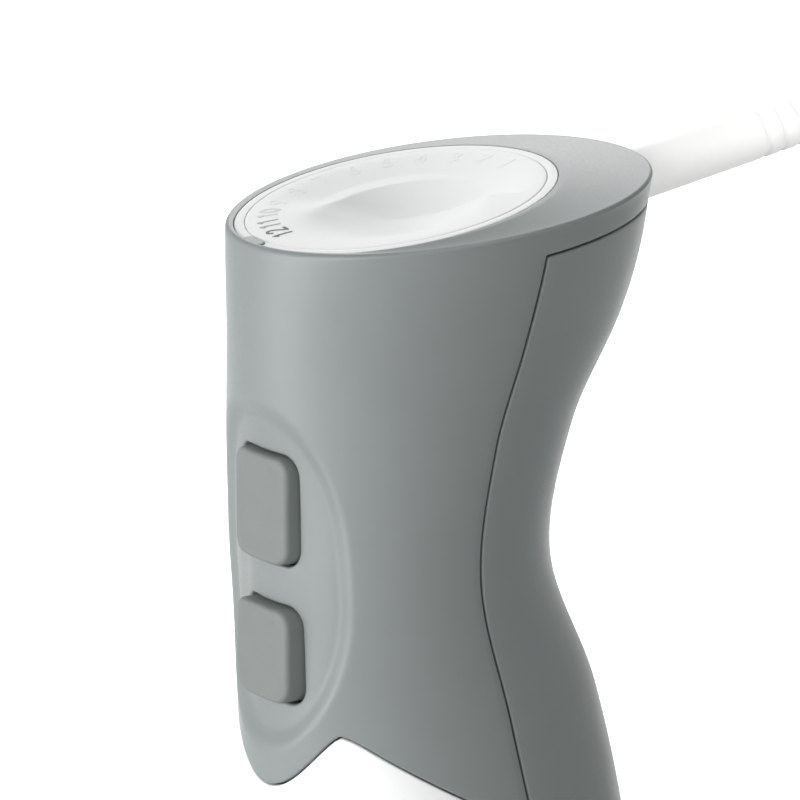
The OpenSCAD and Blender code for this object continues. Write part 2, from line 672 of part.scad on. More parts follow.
/* Foot */
module foot_collar() {
    top = 190.5;
    color(white) rotate_extrude($fn = 96)
        polygon([[spigot_r, top], [spigot_r, 190.2], [13.4, 189.8], [13.4, 184.4], [spigot_r, 183.8],
            [spigot_r, unit_bottom - gap], [23.4, unit_bottom - gap], [23.8, 162], [21.5, 152],
            [16.5, 142], [13, 132], [tube_r + 0.1, 132], [tube_r + 0.1, 150], [6, 150],
            [6, 176], [9.3, 176], [9.3, top]]);
}
module foot_tube() { color(steel) ring(tube_r - 0.8, tube_r, 57.2, 149.8); }
bell_wall = 1.4;
bell_top = 56;
bell_side = 26;
neck_r = 12;
function dome(r, z) =
    [for (t = [0 : 10 : 90]) [neck_r + (r - neck_r) * sin(t), bell_side + z * cos(t)]];
module bell_guard() {
    rim_in = bell_r - bell_wall;
    inner = dome(rim_in, bell_top - bell_side - bell_wall);
    color(steel) difference() {
        rotate_extrude($fn = 96) polygon(concat(
            [[neck_r, 66]], dome(bell_r, bell_top - bell_side), [[bell_r, 0], [rim_in, 0]],
            [for (k = [len(inner) - 1 : -1 : 0]) inner[k]],
            [[8.5, bell_top - bell_wall], [8.5, 44], [6, 44], [6, 57],
                [tube_r + 0.1, 57], [tube_r + 0.1, 66]]));
        for (t = [0, 90]) rotate(t) for (z = [12, 18])
            translate([0, 0, z]) rotate([90, 0, 0]) cylinder(r = 6.5, h = 80, center = true);
        for (t = [0, 90]) rotate(t) block([-6.5, -40, 12], [6.5, 40, 18]);
    }
}
module foot_shaft() { color(steel) translate([0, 0, 11]) cylinder(r = shaft_r, h = 180); }
module foot_dog() {
    color("black") translate([0, 0, 184]) linear_extrude(7.6) difference() {
        star(4.9, 6.7);
        circle(shaft_r);
    }
}
module upper_foot_bush() { color("peru") ring(shaft_r + 0.03, 6, 164, 175.8); }
module lower_foot_bush() { color("peru") ring(shaft_r + 0.03, 6, 47.2, 56.8); }
module shaft_seal() { color("black") ring(shaft_r + 0.05, 6, 44, 47); }
module blade_hub() {
    color("dimgray") {
        ring(shaft_r, 5.5, 10.4, 19);
        translate([0, 0, 9.6]) cylinder(r = 4.6, h = 1.4);
    }
}
module blade() {
    color(steel) difference() {
        union() {
            translate([0, 0, 12.8]) cylinder(r = 7.5, h = 1.2);
            for (t = [0, 180]) rotate(t) translate([5, 0, 13.4]) rotate([14, 0, 0])
                translate([0, 0, -0.6]) linear_extrude(1.2)
                    polygon([[-1, -4.4], [blade_r - 8, -4], [blade_r - 5.3, 0], [blade_r - 8, 2.6],
                        [-1, 4.2]]);
        }
        translate([0, 0, 5]) cylinder(r = 5.5, h = 20);
    }
}

upper_housing();
rear_grip();
motor_housing();
dial_bezel();
speed_dial();
dial_shaft();
potentiometer();
dial_board();
button_plate();
on_button();
turbo_button();
on_spring();
turbo_spring();
switches();
control_board();
board_parts();
lead_wires();
strain_relief();
cord_clamp();
cord_tube();
cord_coil();
cord_tie();
plug_body();
plug_pins();
stator_core();
field_coils();
armature_core();
armature_windings();
commutator();
rotor_shaft();
cooling_fan();
upper_bracket();
upper_bush();
lower_bracket();
bearing_outer();
bearing_balls();
bearing_inner();
brush_holders();
carbon_brushes();
brush_springs();
motor_screws();
rubber_mount();
drive_coupling();
coupling_socket();
release_left();
release_right();
latch_left();
latch_right();
latch_springs();
foot_collar();
foot_tube();
bell_guard();
foot_shaft();
foot_dog();
upper_foot_bush();
lower_foot_bush();
shaft_seal();
blade_hub();
blade();
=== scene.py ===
import json
import math

import bpy
import numpy as np
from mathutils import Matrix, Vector


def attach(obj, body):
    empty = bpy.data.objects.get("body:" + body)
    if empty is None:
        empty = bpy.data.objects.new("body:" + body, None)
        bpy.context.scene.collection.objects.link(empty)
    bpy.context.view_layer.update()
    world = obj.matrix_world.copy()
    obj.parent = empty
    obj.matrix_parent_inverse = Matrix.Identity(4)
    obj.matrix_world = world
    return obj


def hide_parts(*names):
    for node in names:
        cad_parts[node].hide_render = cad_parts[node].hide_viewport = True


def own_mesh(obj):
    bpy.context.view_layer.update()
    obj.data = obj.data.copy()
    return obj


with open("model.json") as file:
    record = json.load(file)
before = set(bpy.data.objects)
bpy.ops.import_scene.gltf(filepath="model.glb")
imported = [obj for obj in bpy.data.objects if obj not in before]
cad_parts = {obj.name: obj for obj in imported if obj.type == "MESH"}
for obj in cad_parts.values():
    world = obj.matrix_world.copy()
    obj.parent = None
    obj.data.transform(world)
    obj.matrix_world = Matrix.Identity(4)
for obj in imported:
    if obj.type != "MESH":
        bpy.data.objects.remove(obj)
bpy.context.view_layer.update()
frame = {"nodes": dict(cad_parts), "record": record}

# Lengths below are in millimetres, as in the part's source; MM turns them into metres.
MM = 0.001
RECORD = frame["record"]

# ------------------------ the part's own shape
TOP_Z = 386.0
UNIT_BOTTOM = 168.0
TOP_SLOPE = 0.135
DIAL_SLOPE, DIAL_RISE, DIAL_Y = 0.19, 1.3, -6.6
DIAL_R, OPEN_R = 22.6, 24.3
TILT = math.atan(DIAL_SLOPE)
BAND_H = 4.3
RIM_R = 0.7
WALL = 1.8
PROFILE = np.array([
    [168, 24, -24, 24], [190, 28, -28, 28], [226, 29.8, -29.8, 29.8], [250, 30, -30, 30],
    [TOP_Z - 112, 29.9, -29.9, 29.9], [TOP_Z - 98, 29.7, -29.1, 29.2],
    [TOP_Z - 75, 25.8, -30.4, 24.6], [TOP_Z - 53, 25.3, -31.8, 15.8],
    [TOP_Z - 33, 26, -31.7, 19.8], [TOP_Z - 18, 27.1, -31.8, 28.4],
    [TOP_Z - 8, 28.9, -31.6, 31.6], [TOP_Z + 4, 31.3, -30.8, 32.9]])
TURBO_HOLE = (TOP_Z - 73, TOP_Z - 58)
ON_HOLE = (TOP_Z - 52, TOP_Z - 35)
RELEASE_Z = UNIT_BOTTOM + 20
# The button recess: half width, half height, centre's drop below the top, step and hollow
RECESS_W, RECESS_H, RECESS_DROP, RECESS_STEP, RECESS_HOLLOW = 17.6, 27, 54, 1.5, 1.1
# The grey and white joint: its drop below the top, the front tongue's depth and half angle,
# where the side starts to fall and how softly, in degrees, and how far side and back fall
JOINT_DROP, TONGUE_H, TONGUE_HALF = 76, 10, 34
RISE_END, RISE_SOFT, SIDE_FALL, BACK_FALL = 37, 2, 15 / 54, 11.5
MEAN_R = 27  # turns an angle on the grip into a length along its skin
EDGE = 0.32  # rounding of the shells' edges
GAP = 0.3    # open joint between two shells


def rate(i, c):
    lo, hi = np.maximum(i - 1, 0), np.minimum(i + 1, len(PROFILE) - 1)
    return (PROFILE[hi, c] - PROFILE[lo, c]) / (PROFILE[hi, 0] - PROFILE[lo, 0])


def at(z, c):
    """The outline's half width, front or rear at height z: a cubic through the stations."""
    i = np.clip(np.searchsorted(PROFILE[:, 0], z, "right") - 1, 0, len(PROFILE) - 2)
    h = PROFILE[i + 1, 0] - PROFILE[i, 0]
    t = (z - PROFILE[i, 0]) / h
    s = t * t * (3 - 2 * t)
    return (PROFILE[i, c] * (1 - s) + PROFILE[i + 1, c] * s
            + h * rate(i, c) * t * (1 - t) ** 2 - h * rate(i + 1, c) * t * t * (1 - t))


def smooth(a, b, v):
    t = np.clip((np.asarray(v, float) - a) / (b - a), 0, 1)
    return t * t * (3 - 2 * t)


def recess(x, z):
    """Depth of the button recess: a soft rounded step at its outline, then a hollow."""
    x, z = np.broadcast_arrays(x / RECESS_W, (z - (TOP_Z - RECESS_DROP)) / RECESS_H)
    p = 2 + 0.4 * smooth(-0.3, 0.3, z)
    e = (np.abs(x) ** p + np.abs(z) ** p) ** (1 / p)
    return RECESS_STEP * (1 - smooth(0.86, 1.0, e)) + RECESS_HOLLOW * (1 - smooth(0.45, 0.95, e))


def side(a, z, inset=0.0):
    """The point of the skin at angle a (0 in front) and height z, set in by inset."""
    a, z = np.broadcast_arrays(np.asarray(a, float), np.asarray(z, float))
    b, f, r = at(z, 1), at(z, 2), at(z, 3)
    dip = np.where(np.abs(a) < math.radians(80), recess(b * np.sin(a), z), 0)
    i = inset + dip
    return np.stack([(b - i) * np.sin(a), (f + r) / 2 - ((r - f) / 2 - i) * np.cos(a), z], -1)


def top_at(y):
    """Height of the sloped grey top."""
    return TOP_Z + TOP_SLOPE * y


def dial_at(y):
    """Height of the dial's tilted plane."""
    return TOP_Z + DIAL_RISE + DIAL_SLOPE * y


def edge_z(a):
    """Height where the side meets the sloped top."""
    z = np.full_like(a, TOP_Z)
    for _ in range(3):
        z = top_at(side(a, z)[..., 1])
    return z


def joint_z(a):
    """Height of the line where the grey shell meets the white one."""
    b = np.abs(np.degrees(a))
    dip = TONGUE_H * ((1 + np.cos(np.radians(180 * np.minimum(b, TONGUE_HALF) / TONGUE_HALF))) / 2) ** 0.6
    slope = SIDE_FALL * RISE_SOFT * np.logaddexp(0, (np.minimum(b, 90) - RISE_END) / RISE_SOFT)
    behind = BACK_FALL * np.sin(np.radians(np.maximum(b - 90, 0)))
    return TOP_Z - JOINT_DROP - dip - slope - behind


# ------------------------ meshes
def make(name, verts, faces, body, slot, sharp=35.0, material=None):
    """A smooth-shaded piece that rides on a body, in its slot's material if no other is given."""
    me = bpy.data.meshes.new(name)
    me.from_pydata((np.asarray(verts, float) * MM).tolist(), [], [tuple(map(int, f)) for f in faces])
    me.validate()
    me.update()
    me.shade_smooth()
    me.set_sharp_from_angle(angle=math.radians(sharp))
    me.materials.append(material or M[slot])
    ob = bpy.data.objects.new(name, me)
    bpy.context.scene.collection.objects.link(ob)
    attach(ob, body)
    return ob


def quads(rows, n, wrap=False, first=0):
    """Faces between rows of n points each, where every row is a closed loop."""
    return [(first + j * n + k, first + j * n + (k + 1) % n,
             first + (j + 1) % rows * n + (k + 1) % n, first + (j + 1) % rows * n + k)
            for j in range(rows if wrap else rows - 1) for k in range(n)]


def nearest(line, *values):
    """Indices of the grid lines nearest to the values."""
    return [int(np.argmin(np.abs(line - v))) for v in values]


class Shell:
    """An outer skin and an inner one with the same quads, closed along every open edge."""

    def __init__(self):
        self.out, self.inn, self.faces = [], [], []

    def points(self, out, inn):
        first = len(self.out)
        self.out.extend(np.asarray(out, float).reshape(-1, 3).tolist())
        self.inn.extend(np.asarray(inn, float).reshape(-1, 3).tolist())
        return first + np.arange(len(self.out) - first)

    def grid(self, out, inn, shown, wrap):
        n, m = out.shape[:2]
        ids = self.points(out, inn).reshape(n, m)
        for i in range(n if wrap else n - 1):
            k = (i + 1) % n
            for j in range(m - 1):
                if shown[i, j]:
                    self.faces.append((ids[i, j], ids[k, j], ids[k, j + 1], ids[i, j + 1]))
        return ids

    def strip(self, a, b):
        """Quads between two closed loops of ids; loop b lies inside loop a."""
        n = len(a)
        self.faces += [(a[k], a[(k + 1) % n], b[(k + 1) % n], b[k]) for k in range(n)]

    def mesh(self, name, body, slot, sharp=35.0):
        n = len(self.out)
        seen = dict.fromkeys((f[k], f[(k + 1) % 4]) for f in self.faces for k in range(4))
        faces = list(self.faces) + [tuple(n + v for v in reversed(f)) for f in self.faces]
        faces += [(b, a, n + a, n + b) for a, b in seen if (b, a) not in seen]
        used = sorted({v for f in faces for v in f})
        new = {v: i for i, v in enumerate(used)}
        verts = self.out + self.inn
        return make(name, [verts[v] for v in used], [[new[v] for v in f] for f in faces],
                    body, slot, sharp)


def rounded_rect(hw, hh, rc, n=1440):
    """Dense outline of a rounded rectangle, and its outward normals, counter-clockwise."""
    t = np.linspace(0, 2 * np.pi, n, endpoint=False)
    corner = np.stack([np.sign(np.cos(t)) * (hw - rc), np.sign(np.sin(t)) * (hh - rc)], -1)
    arc = corner + rc * np.stack([np.cos(t), np.sin(t)], -1)
    pts, nor = [], []
    for k in range(n):
        pts.append(arc[k])
        nor.append([math.cos(t[k]), math.sin(t[k])])
        nxt = arc[(k + 1) % n]
        gap = np.linalg.norm(nxt - arc[k])
        if gap > 0.3:
            for s in np.linspace(0, 1, max(3, int(gap / 0.05)))[1:-1]:
                pts.append(arc[k] + s * (nxt - arc[k]))
                d = (nxt - arc[k]) / gap
                nor.append([d[1], -d[0]])
    return np.array(pts), np.array(nor)


def hole(shell, ids, cols, rows, params, centre, outline, unit, skin, lip, wall=WALL):
    """Fills a block of the grid with rings that lead to a rounded opening's lip.
    cols and rows are the block's first and last grid lines; params gives (angle, height)."""
    (c0, c1), (r0, r1) = cols, rows
    loop = ([(c, r0) for c in range(c0, c1)] + [(c1, r) for r in range(r0, r1)]
            + [(c, r1) for c in range(c1, c0, -1)] + [(c0, r) for r in range(r1, r0, -1)])
    ring = np.array([ids[c, r] for c, r in loop])
    q = np.array([params(c, r) for c, r in loop])
    flat = np.stack([(q[:, 0] - centre[0]) * unit, q[:, 1] - centre[1]], -1)
    pts, nor = outline
    ang = np.unwrap(np.arctan2(pts[:, 1], pts[:, 0]))
    order = np.argsort(np.mod(ang, 2 * np.pi))
    pts, nor, ang = pts[order], nor[order], np.mod(ang, 2 * np.pi)[order]
    want = np.mod(np.arctan2(flat[:, 1], flat[:, 0]), 2 * np.pi)
    near = np.array([np.interp(want, ang, pts[:, k], period=2 * np.pi) for k in (0, 1)]).T
    out = np.array([np.interp(want, ang, nor[:, k], period=2 * np.pi) for k in (0, 1)]).T
    out /= np.linalg.norm(out, axis=1)[:, None]
    rim = near + out * lip
    loops = [(flat + (rim - flat) * t, 0.0) for t in (0.35, 0.7)]
    for phi in (0, 22.5, 45, 67.5, 90):
        p = math.radians(phi)
        loops.append((near + out * lip * (1 - math.sin(p)), lip * (1 - math.cos(p))))
    for xy, inset in loops:
        a, z = xy[:, 0] / unit + centre[0], xy[:, 1] + centre[1]
        new = shell.points(skin(a, z, inset), skin(a, z, wall))
        shell.strip(ring, new)
        ring = new


def round_inset(e, *distances):
    """Inset that rounds an edge of radius e, from distances to the edges nearby."""
    rho = np.sqrt(sum(np.maximum(0, e - d) ** 2 for d in distances))
    return e - np.sqrt(np.maximum(e * e - np.minimum(rho, e) ** 2, 0))


def edge_steps(e, count=4):
    return e * (1 - np.cos(np.linspace(0, np.pi / 2, count + 1)))[:-1]


def revolve(profile, n=96, origin=(0, 0, 0), axis=(0, 0, 1)):
    """Verts and faces of a closed profile of (radius, height) turned about an axis."""
    w = np.array(axis, float) / np.linalg.norm(axis)
    u = np.cross([0, 1, 0] if abs(w[1]) < 0.9 else [1, 0, 0], w)
    u /= np.linalg.norm(u)
    v = np.cross(w, u)
    p = np.array(profile, float)
    t = np.linspace(0, 2 * np.pi, n, endpoint=False)
    ring = np.cos(t)[:, None] * u + np.sin(t)[:, None] * v
    verts = np.array(origin, float) + p[None, :, 0, None] * ring[:, None] + p[None, :, 1, None] * w
    m = len(p)
    faces = [(i * m + j, ((i + 1) % n) * m + j, ((i + 1) % n) * m + (j + 1) % m, i * m + (j + 1) % m)
             for i in range(n) for j in range(m)]
    return verts.reshape(-1, 3), faces


def soften(profile, r=0.3, steps=3, keep=()):
    """Rounds every corner of a closed profile by up to r."""
    p = np.array(profile, float)
    out = []
    for k in range(len(p)):
        a, b, c = p[k - 1], p[k], p[(k + 1) % len(p)]
        da, dc = a - b, c - b
        la, lc = np.linalg.norm(da), np.linalg.norm(dc)
        turn = abs(np.cross(da, dc)) / (la * lc + 1e-9)
        if k in keep or turn < 0.25:
            out.append(b)
            continue
        d = min(r, la * 0.45, lc * 0.45)
        p0, p1 = b + da / la * d, b + dc / lc * d
        for s in np.linspace(0, 1, steps + 1):
            out.append((1 - s) ** 2 * p0 + 2 * s * (1 - s) * b + s * s * p1)
    return np.array(out)


def merge(parts):
    """Joins lists of (verts, faces)."""
    verts, faces = [], []
    for v, f in parts:
        n = len(verts)
        verts.extend(np.asarray(v, float).tolist())
        faces.extend([[n + i for i in face] for face in f])
    return np.array(verts), faces


def blend(x, y, lo, hi, s):
    """x at lo, y at hi, and a straight mix of the two at s."""
    return (hi - s) / (hi - lo) * x + (s - lo) / (hi - lo) * y


def catmull(points, step):
    """Dense points, about step apart, on a centripetal curve through the given ones."""
    p = np.array(points, float)
    p = np.vstack([2 * p[0] - p[1], p, 2 * p[-1] - p[-2]])
    out = []
    for k in range(1, len(p) - 2):
        t = [0.0]
        for a, b in ((k - 1, k), (k, k + 1), (k + 1, k + 2)):
            t.append(t[-1] + max(np.linalg.norm(p[b] - p[a]), 1e-6) ** 0.5)
        n = max(2, int(round(np.linalg.norm(p[k + 1] - p[k]) / step)))
        for s in np.linspace(t[1], t[2], n, endpoint=False):
            a = [blend(p[k - 1 + i], p[k + i], t[i], t[i + 1], s) for i in range(3)]
            b = [blend(a[i], a[i + 1], t[i], t[i + 2], s) for i in range(2)]
            out.append(blend(b[0], b[1], t[1], t[2], s))
    out.append(p[-2])
    return np.array(out)


def tube(path, radius, sides=20):
    """Verts and faces of a round tube along a path, with flat ends."""
    p = np.array(path, float)
    tan = np.gradient(p, axis=0)
    tan /= np.linalg.norm(tan, axis=1)[:, None]
    u = np.cross(tan[0], [1.0, 0, 0])
    verts = []
    r = np.broadcast_to(radius, len(p))
    for k in range(len(p)):
        u = u - tan[k] * (u @ tan[k])
        u /= np.linalg.norm(u)
        v = np.cross(tan[k], u)
        q = np.linspace(0, 2 * np.pi, sides, endpoint=False)
        verts.append(p[k] + r[k] * (np.cos(q)[:, None] * u + np.sin(q)[:, None] * v))
    faces = quads(len(p), sides)
    faces += [tuple(range(sides - 1, -1, -1)), tuple((len(p) - 1) * sides + q for q in range(sides))]
    return np.array(verts).reshape(-1, 3), faces


# ------------------------ materials
def linear(rgb):
    """Display colour, 0 to 255, to linear with alpha."""
    return [c / 12.92 if c <= 0.04045 else ((c + 0.055) / 1.055) ** 2.4
            for c in (v / 255 for v in rgb)] + [1.0]


def remap(nodes, *limits, kind="LINEAR"):
    """A Map Range node from its four limits: from low and high, to low and high."""
    node = nodes.new("ShaderNodeMapRange")
    node.interpolation_type = kind
    for socket, value in zip(("From Min", "From Max", "To Min", "To Max"), limits):
        node.inputs[socket].default_value = value
    return node


def surface(name, rgb, rough, grain, metal=0.0, spec=0.5, coat=0.0, wave=None, tone=0.04,
            stretch=(1, 1, 1), mottle=160.0, rough_vary=0.06):
    """A procedural finish: base colour with a slow tone change, roughness that varies,
    and a fine bump. grain is (scale per metre, strength, depth in mm); wave adds an axis."""
    m = bpy.data.materials.new(name)
    m.use_nodes = True
    nodes, links = m.node_tree.nodes, m.node_tree.links
    b = nodes["Principled BSDF"]
    for socket, value in (("Metallic", metal), ("Specular IOR Level", spec), ("IOR", 1.45),
                          ("Coat Weight", coat), ("Coat Roughness", 0.05)):
        b.inputs[socket].default_value = value
    where = nodes.new("ShaderNodeTexCoord")
    mapping = nodes.new("ShaderNodeMapping")
    mapping.inputs["Scale"].default_value = stretch
    links.new(where.outputs["Object"], mapping.inputs["Vector"])
    slow = nodes.new("ShaderNodeTexNoise")
    slow.inputs["Scale"].default_value = mottle
    slow.inputs["Detail"].default_value = 3
    links.new(where.outputs["Object"], slow.inputs["Vector"])
    ramp = nodes.new("ShaderNodeValToRGB")
    base = linear(rgb)
    ramp.color_ramp.elements[0].position = 0.3
    ramp.color_ramp.elements[1].position = 0.7
    ramp.color_ramp.elements[0].color = [c * (1 - tone) for c in base[:3]] + [1]
    ramp.color_ramp.elements[1].color = [min(1, c * (1 + tone)) for c in base[:3]] + [1]
    links.new(slow.outputs["Fac"], ramp.inputs["Fac"])
    links.new(ramp.outputs["Color"], b.inputs["Base Color"])
    fine = nodes.new("ShaderNodeTexNoise")
    fine.inputs["Scale"].default_value = grain[0]
    fine.inputs["Detail"].default_value = 4
    links.new(mapping.outputs["Vector"], fine.inputs["Vector"])
    rr = remap(nodes, 0.3, 0.7, max(0.02, rough - rough_vary), min(1, rough + rough_vary))
    links.new(fine.outputs["Fac"], rr.inputs["Value"])
    links.new(rr.outputs["Result"], b.inputs["Roughness"])

    def bump(source, strength, depth):
        node = nodes.new("ShaderNodeBump")
        node.inputs["Strength"].default_value = strength
        node.inputs["Distance"].default_value = depth * MM
        links.new(source.outputs["Fac"], node.inputs["Height"])
        return node

    height = bump(fine, *grain[1:])
    if wave:
        w = nodes.new("ShaderNodeTexWave")
        w.wave_type, w.bands_direction = "BANDS", wave[3]
        w.inputs["Scale"].default_value = wave[0]
        w.inputs["Distortion"].default_value = 0.6
        links.new(where.outputs["Object"], w.inputs["Vector"])
        bands = bump(w, wave[1], wave[2])
        links.new(height.outputs["Normal"], bands.inputs["Normal"])
        height = bands
    links.new(height.outputs["Normal"], b.inputs["Normal"])
    return m


SATIN = (2600.0, 0.35, 0.02)
# Name, display colour, roughness, grain, and what differs from the defaults
FINISHES = [
    ("grey_shell", (128, 134, 133), 0.42, SATIN, dict(spec=0.6, tone=0.012)),
    ("white_gloss", (240, 241, 241), 0.28, (500.0, 0.04, 0.01),
     dict(coat=0.1, tone=0.006, rough_vary=0.006)),
    # The dial's white is the body's white plastic made darker and duller: painted shade that holds back the
    # strong top light on the dial, its ring and the relief numerals.
    ("dial_white_painted_shade", (224, 225, 225), 0.42, (500.0, 0.04, 0.01),
     dict(spec=0.22, tone=0.006, rough_vary=0.01)),
    ("white_cord", (244, 244, 243), 0.34, (1500.0, 0.12, 0.02), dict(tone=0.01, rough_vary=0.02)),
    ("button_grey", (120, 125, 123), 0.55, (3000.0, 0.6, 0.04), dict(spec=0.4, tone=0.02)),
    ("steel", (196, 197, 199), 0.24, (260.0, 0.16, 0.02),
     dict(metal=1, tone=0.03, stretch=(1, 1, 40), rough_vary=0.08)),
    ("bright_steel", (214, 215, 217), 0.16, (900.0, 0.1, 0.01), dict(metal=1)),
    ("pin_brass", (204, 196, 176), 0.2, (900.0, 0.1, 0.01), dict(metal=1)),
    ("black_plastic", (38, 39, 41), 0.45, (1800.0, 0.4, 0.03), dict(tone=0.1)),
    ("natural_plastic", (214, 209, 196), 0.42, (1400.0, 0.3, 0.03), {}),
    ("board_green", (28, 94, 62), 0.4, (900.0, 0.2, 0.03), dict(tone=0.15, mottle=900)),
    ("component", (150, 92, 52), 0.4, (900.0, 0.3, 0.03), dict(tone=0.3, mottle=110)),
    ("lamination", (120, 124, 130), 0.4, (1200.0, 0.3, 0.02),
     dict(metal=1, wave=(640.0, 0.8, 0.12, "Z"))),
    ("copper_wire", (176, 98, 52), 0.32, (900.0, 0.3, 0.02),
     dict(metal=1, wave=(420.0, 0.8, 0.2, "Z"), tone=0.12)),
    ("bush_bronze", (168, 128, 74), 0.42, (2200.0, 0.5, 0.03), dict(metal=1)),
    ("carbon", (46, 46, 48), 0.6, (2600.0, 0.6, 0.04), dict(tone=0.15)),
    ("alloy", (170, 172, 174), 0.45, (1600.0, 0.5, 0.04), dict(metal=1)),
    ("rubber_black", (30, 30, 31), 0.75, (2000.0, 0.6, 0.05), dict(tone=0.1)),
]
M = {name: surface(name, rgb, rough, grain, **more) for name, rgb, rough, grain, more in FINISHES}
slot_of = {s["node"]: s["material_slot"] for s in RECORD["subparts"]}
for node, ob in frame["nodes"].items():
    ob.data.materials.clear()
    ob.data.materials.append(M[slot_of[node]])

# ------------------------ camera
CAM_AZ, CAM_EL, CAM_D, PX_PER_MM = math.radians(57.32), math.radians(13.11), 900.1, 6.695
FRAME_PX, SENSOR = 800, 36.0
right = np.array([math.cos(CAM_AZ), math.sin(CAM_AZ), 0])
back = np.array([math.sin(CAM_AZ) * math.cos(CAM_EL), -math.cos(CAM_AZ) * math.cos(CAM_EL),
                 math.sin(CAM_EL)])
AIM_ACROSS, AIM_BELOW_TOP = -4.918, 31.33
aim = right * AIM_ACROSS + np.array([0, 0, TOP_Z - AIM_BELOW_TOP])
cam_data = bpy.data.cameras.new("camera")
cam_data.sensor_width = SENSOR
cam_data.lens = SENSOR * CAM_D * PX_PER_MM / FRAME_PX
cam_data.clip_start, cam_data.clip_end = 0.05, 60
cam = bpy.data.objects.new("camera", cam_data)
cam.location = Vector((aim + back * CAM_D) * MM)
cam.rotation_mode = "QUATERNION"
cam.rotation_quaternion = Vector(-back).to_track_quat("-Z", "Y")
bpy.context.scene.collection.objects.link(cam)
bpy.context.scene.camera = cam

# ------------------------ cord, relief, tie and plug
CORD_R = 3.4
EXIT = np.array([0, 34, TOP_Z - 1.3])
RELIEF_DIR = np.array([0, 1, 0.184])
RELIEF_END = EXIT + 38 * RELIEF_DIR
relief_unit = RELIEF_DIR / np.linalg.norm(RELIEF_DIR)
ROUTE = [RELIEF_END - relief_unit * 3, RELIEF_END, (0, 84, 393.3), (0, 97, 392.4), (-1, 108.5, 387),
         (-3, 118.5, 377.5), (-5, 126, 364.5), (-8, 131, 348), (-11, 134.5, 329), (-14, 137, 309),
         (-17, 138, 289), (-20, 139, 270), (-23, 139, 251), (-26, 139, 232), (-29, 139, 213),
         (-31, 139, 194), (-34, 138, 175), (-36, 138, 156), (-38, 137, 137), (-39, 137, 118),
         (-40, 136, 99), (-40, 136, 80), (-40, 136, 64), (-40, 136, 50), (-37, 136, 35),
         (-28, 136, 22), (-15, 136, 13), (0, 135.9, 10.2)]
COIL_Y, COIL_OUT, COIL_IN, COIL_TOP, COIL_LOW = 95.0, 40.9, 34.1, 10.2, 3.4
COIL_TURNED = 1260  # degrees: three and a half turns
PLUG_Y, PLUG_H = 54.0, 13.7


def coil_point(turned):
    """A place on the coil after so many degrees clockwise from where the lead comes in."""
    r = COIL_OUT + (COIL_IN - COIL_OUT) * (smooth(300, 350, turned) - smooth(880, 940, turned))
    z = COIL_TOP + (COIL_LOW - COIL_TOP) * smooth(590, 650, turned)
    phi = math.radians(90 - turned)
    return (r * math.cos(phi), COIL_Y + r * math.sin(phi), z)


coil = [coil_point(t) for t in np.arange(15, COIL_TURNED + 0.1, 15)]
tail = [(-12, PLUG_Y, 4.6), (-24, PLUG_Y, PLUG_H / 2), (-34, PLUG_Y, PLUG_H / 2), (-42, PLUG_Y, PLUG_H / 2)]
cord_path = catmull(ROUTE + coil + tail, 3.0)
cord = make("mains_lead", *tube(cord_path, CORD_R), "motor_unit", "white_cord")
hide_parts("cord_tube", "cord_coil")

# Strain relief: a flange inside the wall, a smooth sleeve and a grooved end
reach = np.linalg.norm(RELIEF_END - EXIT)
line = [(0.0, -6.5), (5.5, -6.5), (5.5, -5.4), (4.1, -5.3), (4.1, 0), (4.08, 8), (4.04, 16), (4.0, 24)]
for k in range(4):
    s = 25.2 + 3.2 * k
    line += [(4.0, s - 0.6), (3.62, s - 0.35), (3.62, s + 0.35), (3.98 - 0.04 * k, s + 0.6)]
line += [(3.8, reach - 0.8), (3.62, reach), (0.0, reach)]
relief = make("strain_relief_sleeve", *revolve(soften(line, 0.25), 48, EXIT, relief_unit),
              "motor_unit", "white_cord", 40)
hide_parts("strain_relief")

# ------------------------ upper shell
SEAM = math.radians(90)
front = np.arange(0, 44.1, 1.0)
rest = np.concatenate([np.arange(46.5, 87, 2.5), 90 - np.degrees(edge_steps(EDGE) / MEAN_R)[::-1]])
back_cols = np.arange(92.5, 180, 2.5)
half = np.unique(np.concatenate([front, rest, back_cols]).round(4))
cols = np.radians(np.concatenate([-half[:0:-1], half, [180]]))
edge = edge_z(cols)
zj, zb = joint_z(cols), edge - BAND_H
hole_rows = np.arange(TOP_Z - 75, TOP_Z - 20, 0.62)
edge_rows = np.concatenate([edge_steps(EDGE), [EDGE]])
FILL_ROWS = 13
rows_fixed = np.concatenate([hole_rows, np.arange(TOP_Z - 19.5, TOP_Z - 12.5, 1.0)])


def upper_rows(k):
    """Heights of column k's grid points, from the joint line up to the rim's rounding."""
    start = zj[k] + edge_rows
    fill = start[-1] + (rows_fixed[0] - start[-1]) * np.arange(1, FILL_ROWS + 1) / (FILL_ROWS + 1)
    gap = np.linspace(rows_fixed[-1], zb[k], 7)[1:]
    band = zb[k] + np.concatenate([edge_rows[1:], [0.9, 1.7, 2.6, BAND_H - RIM_R]])
    return np.concatenate([start, fill, rows_fixed, gap, band])


zz = np.array([upper_rows(k) for k in range(len(cols))])
band_row = len(edge_rows) + FILL_ROWS + len(rows_fixed) + 5
aa = np.broadcast_to(cols[:, None], zz.shape)
to_side = np.maximum(0, (SEAM - np.abs(aa)) * MEAN_R)
to_band = np.hypot(to_side, np.maximum(0, zz - zb[:, None]))
inset = round_inset(EDGE, zz - zj[:, None], to_band)
outer = side(aa, zz, inset)
inner = side(aa, zz, WALL)
rim_turns = np.radians([15, 30, 45, 60, 75, 90])
fills = [0.12, 0.3, 0.5, 0.7, 0.88, 1.0]
MOUTH_LIP, PROUD = 0.15, 0.05


def rim_point(k, i, drop):
    """A point of column k on the sloped top, in from the side by i and below by drop."""
    p = side(cols[k], edge[k], i)
    return np.array([p[0], p[1], top_at(p[1]) - drop])


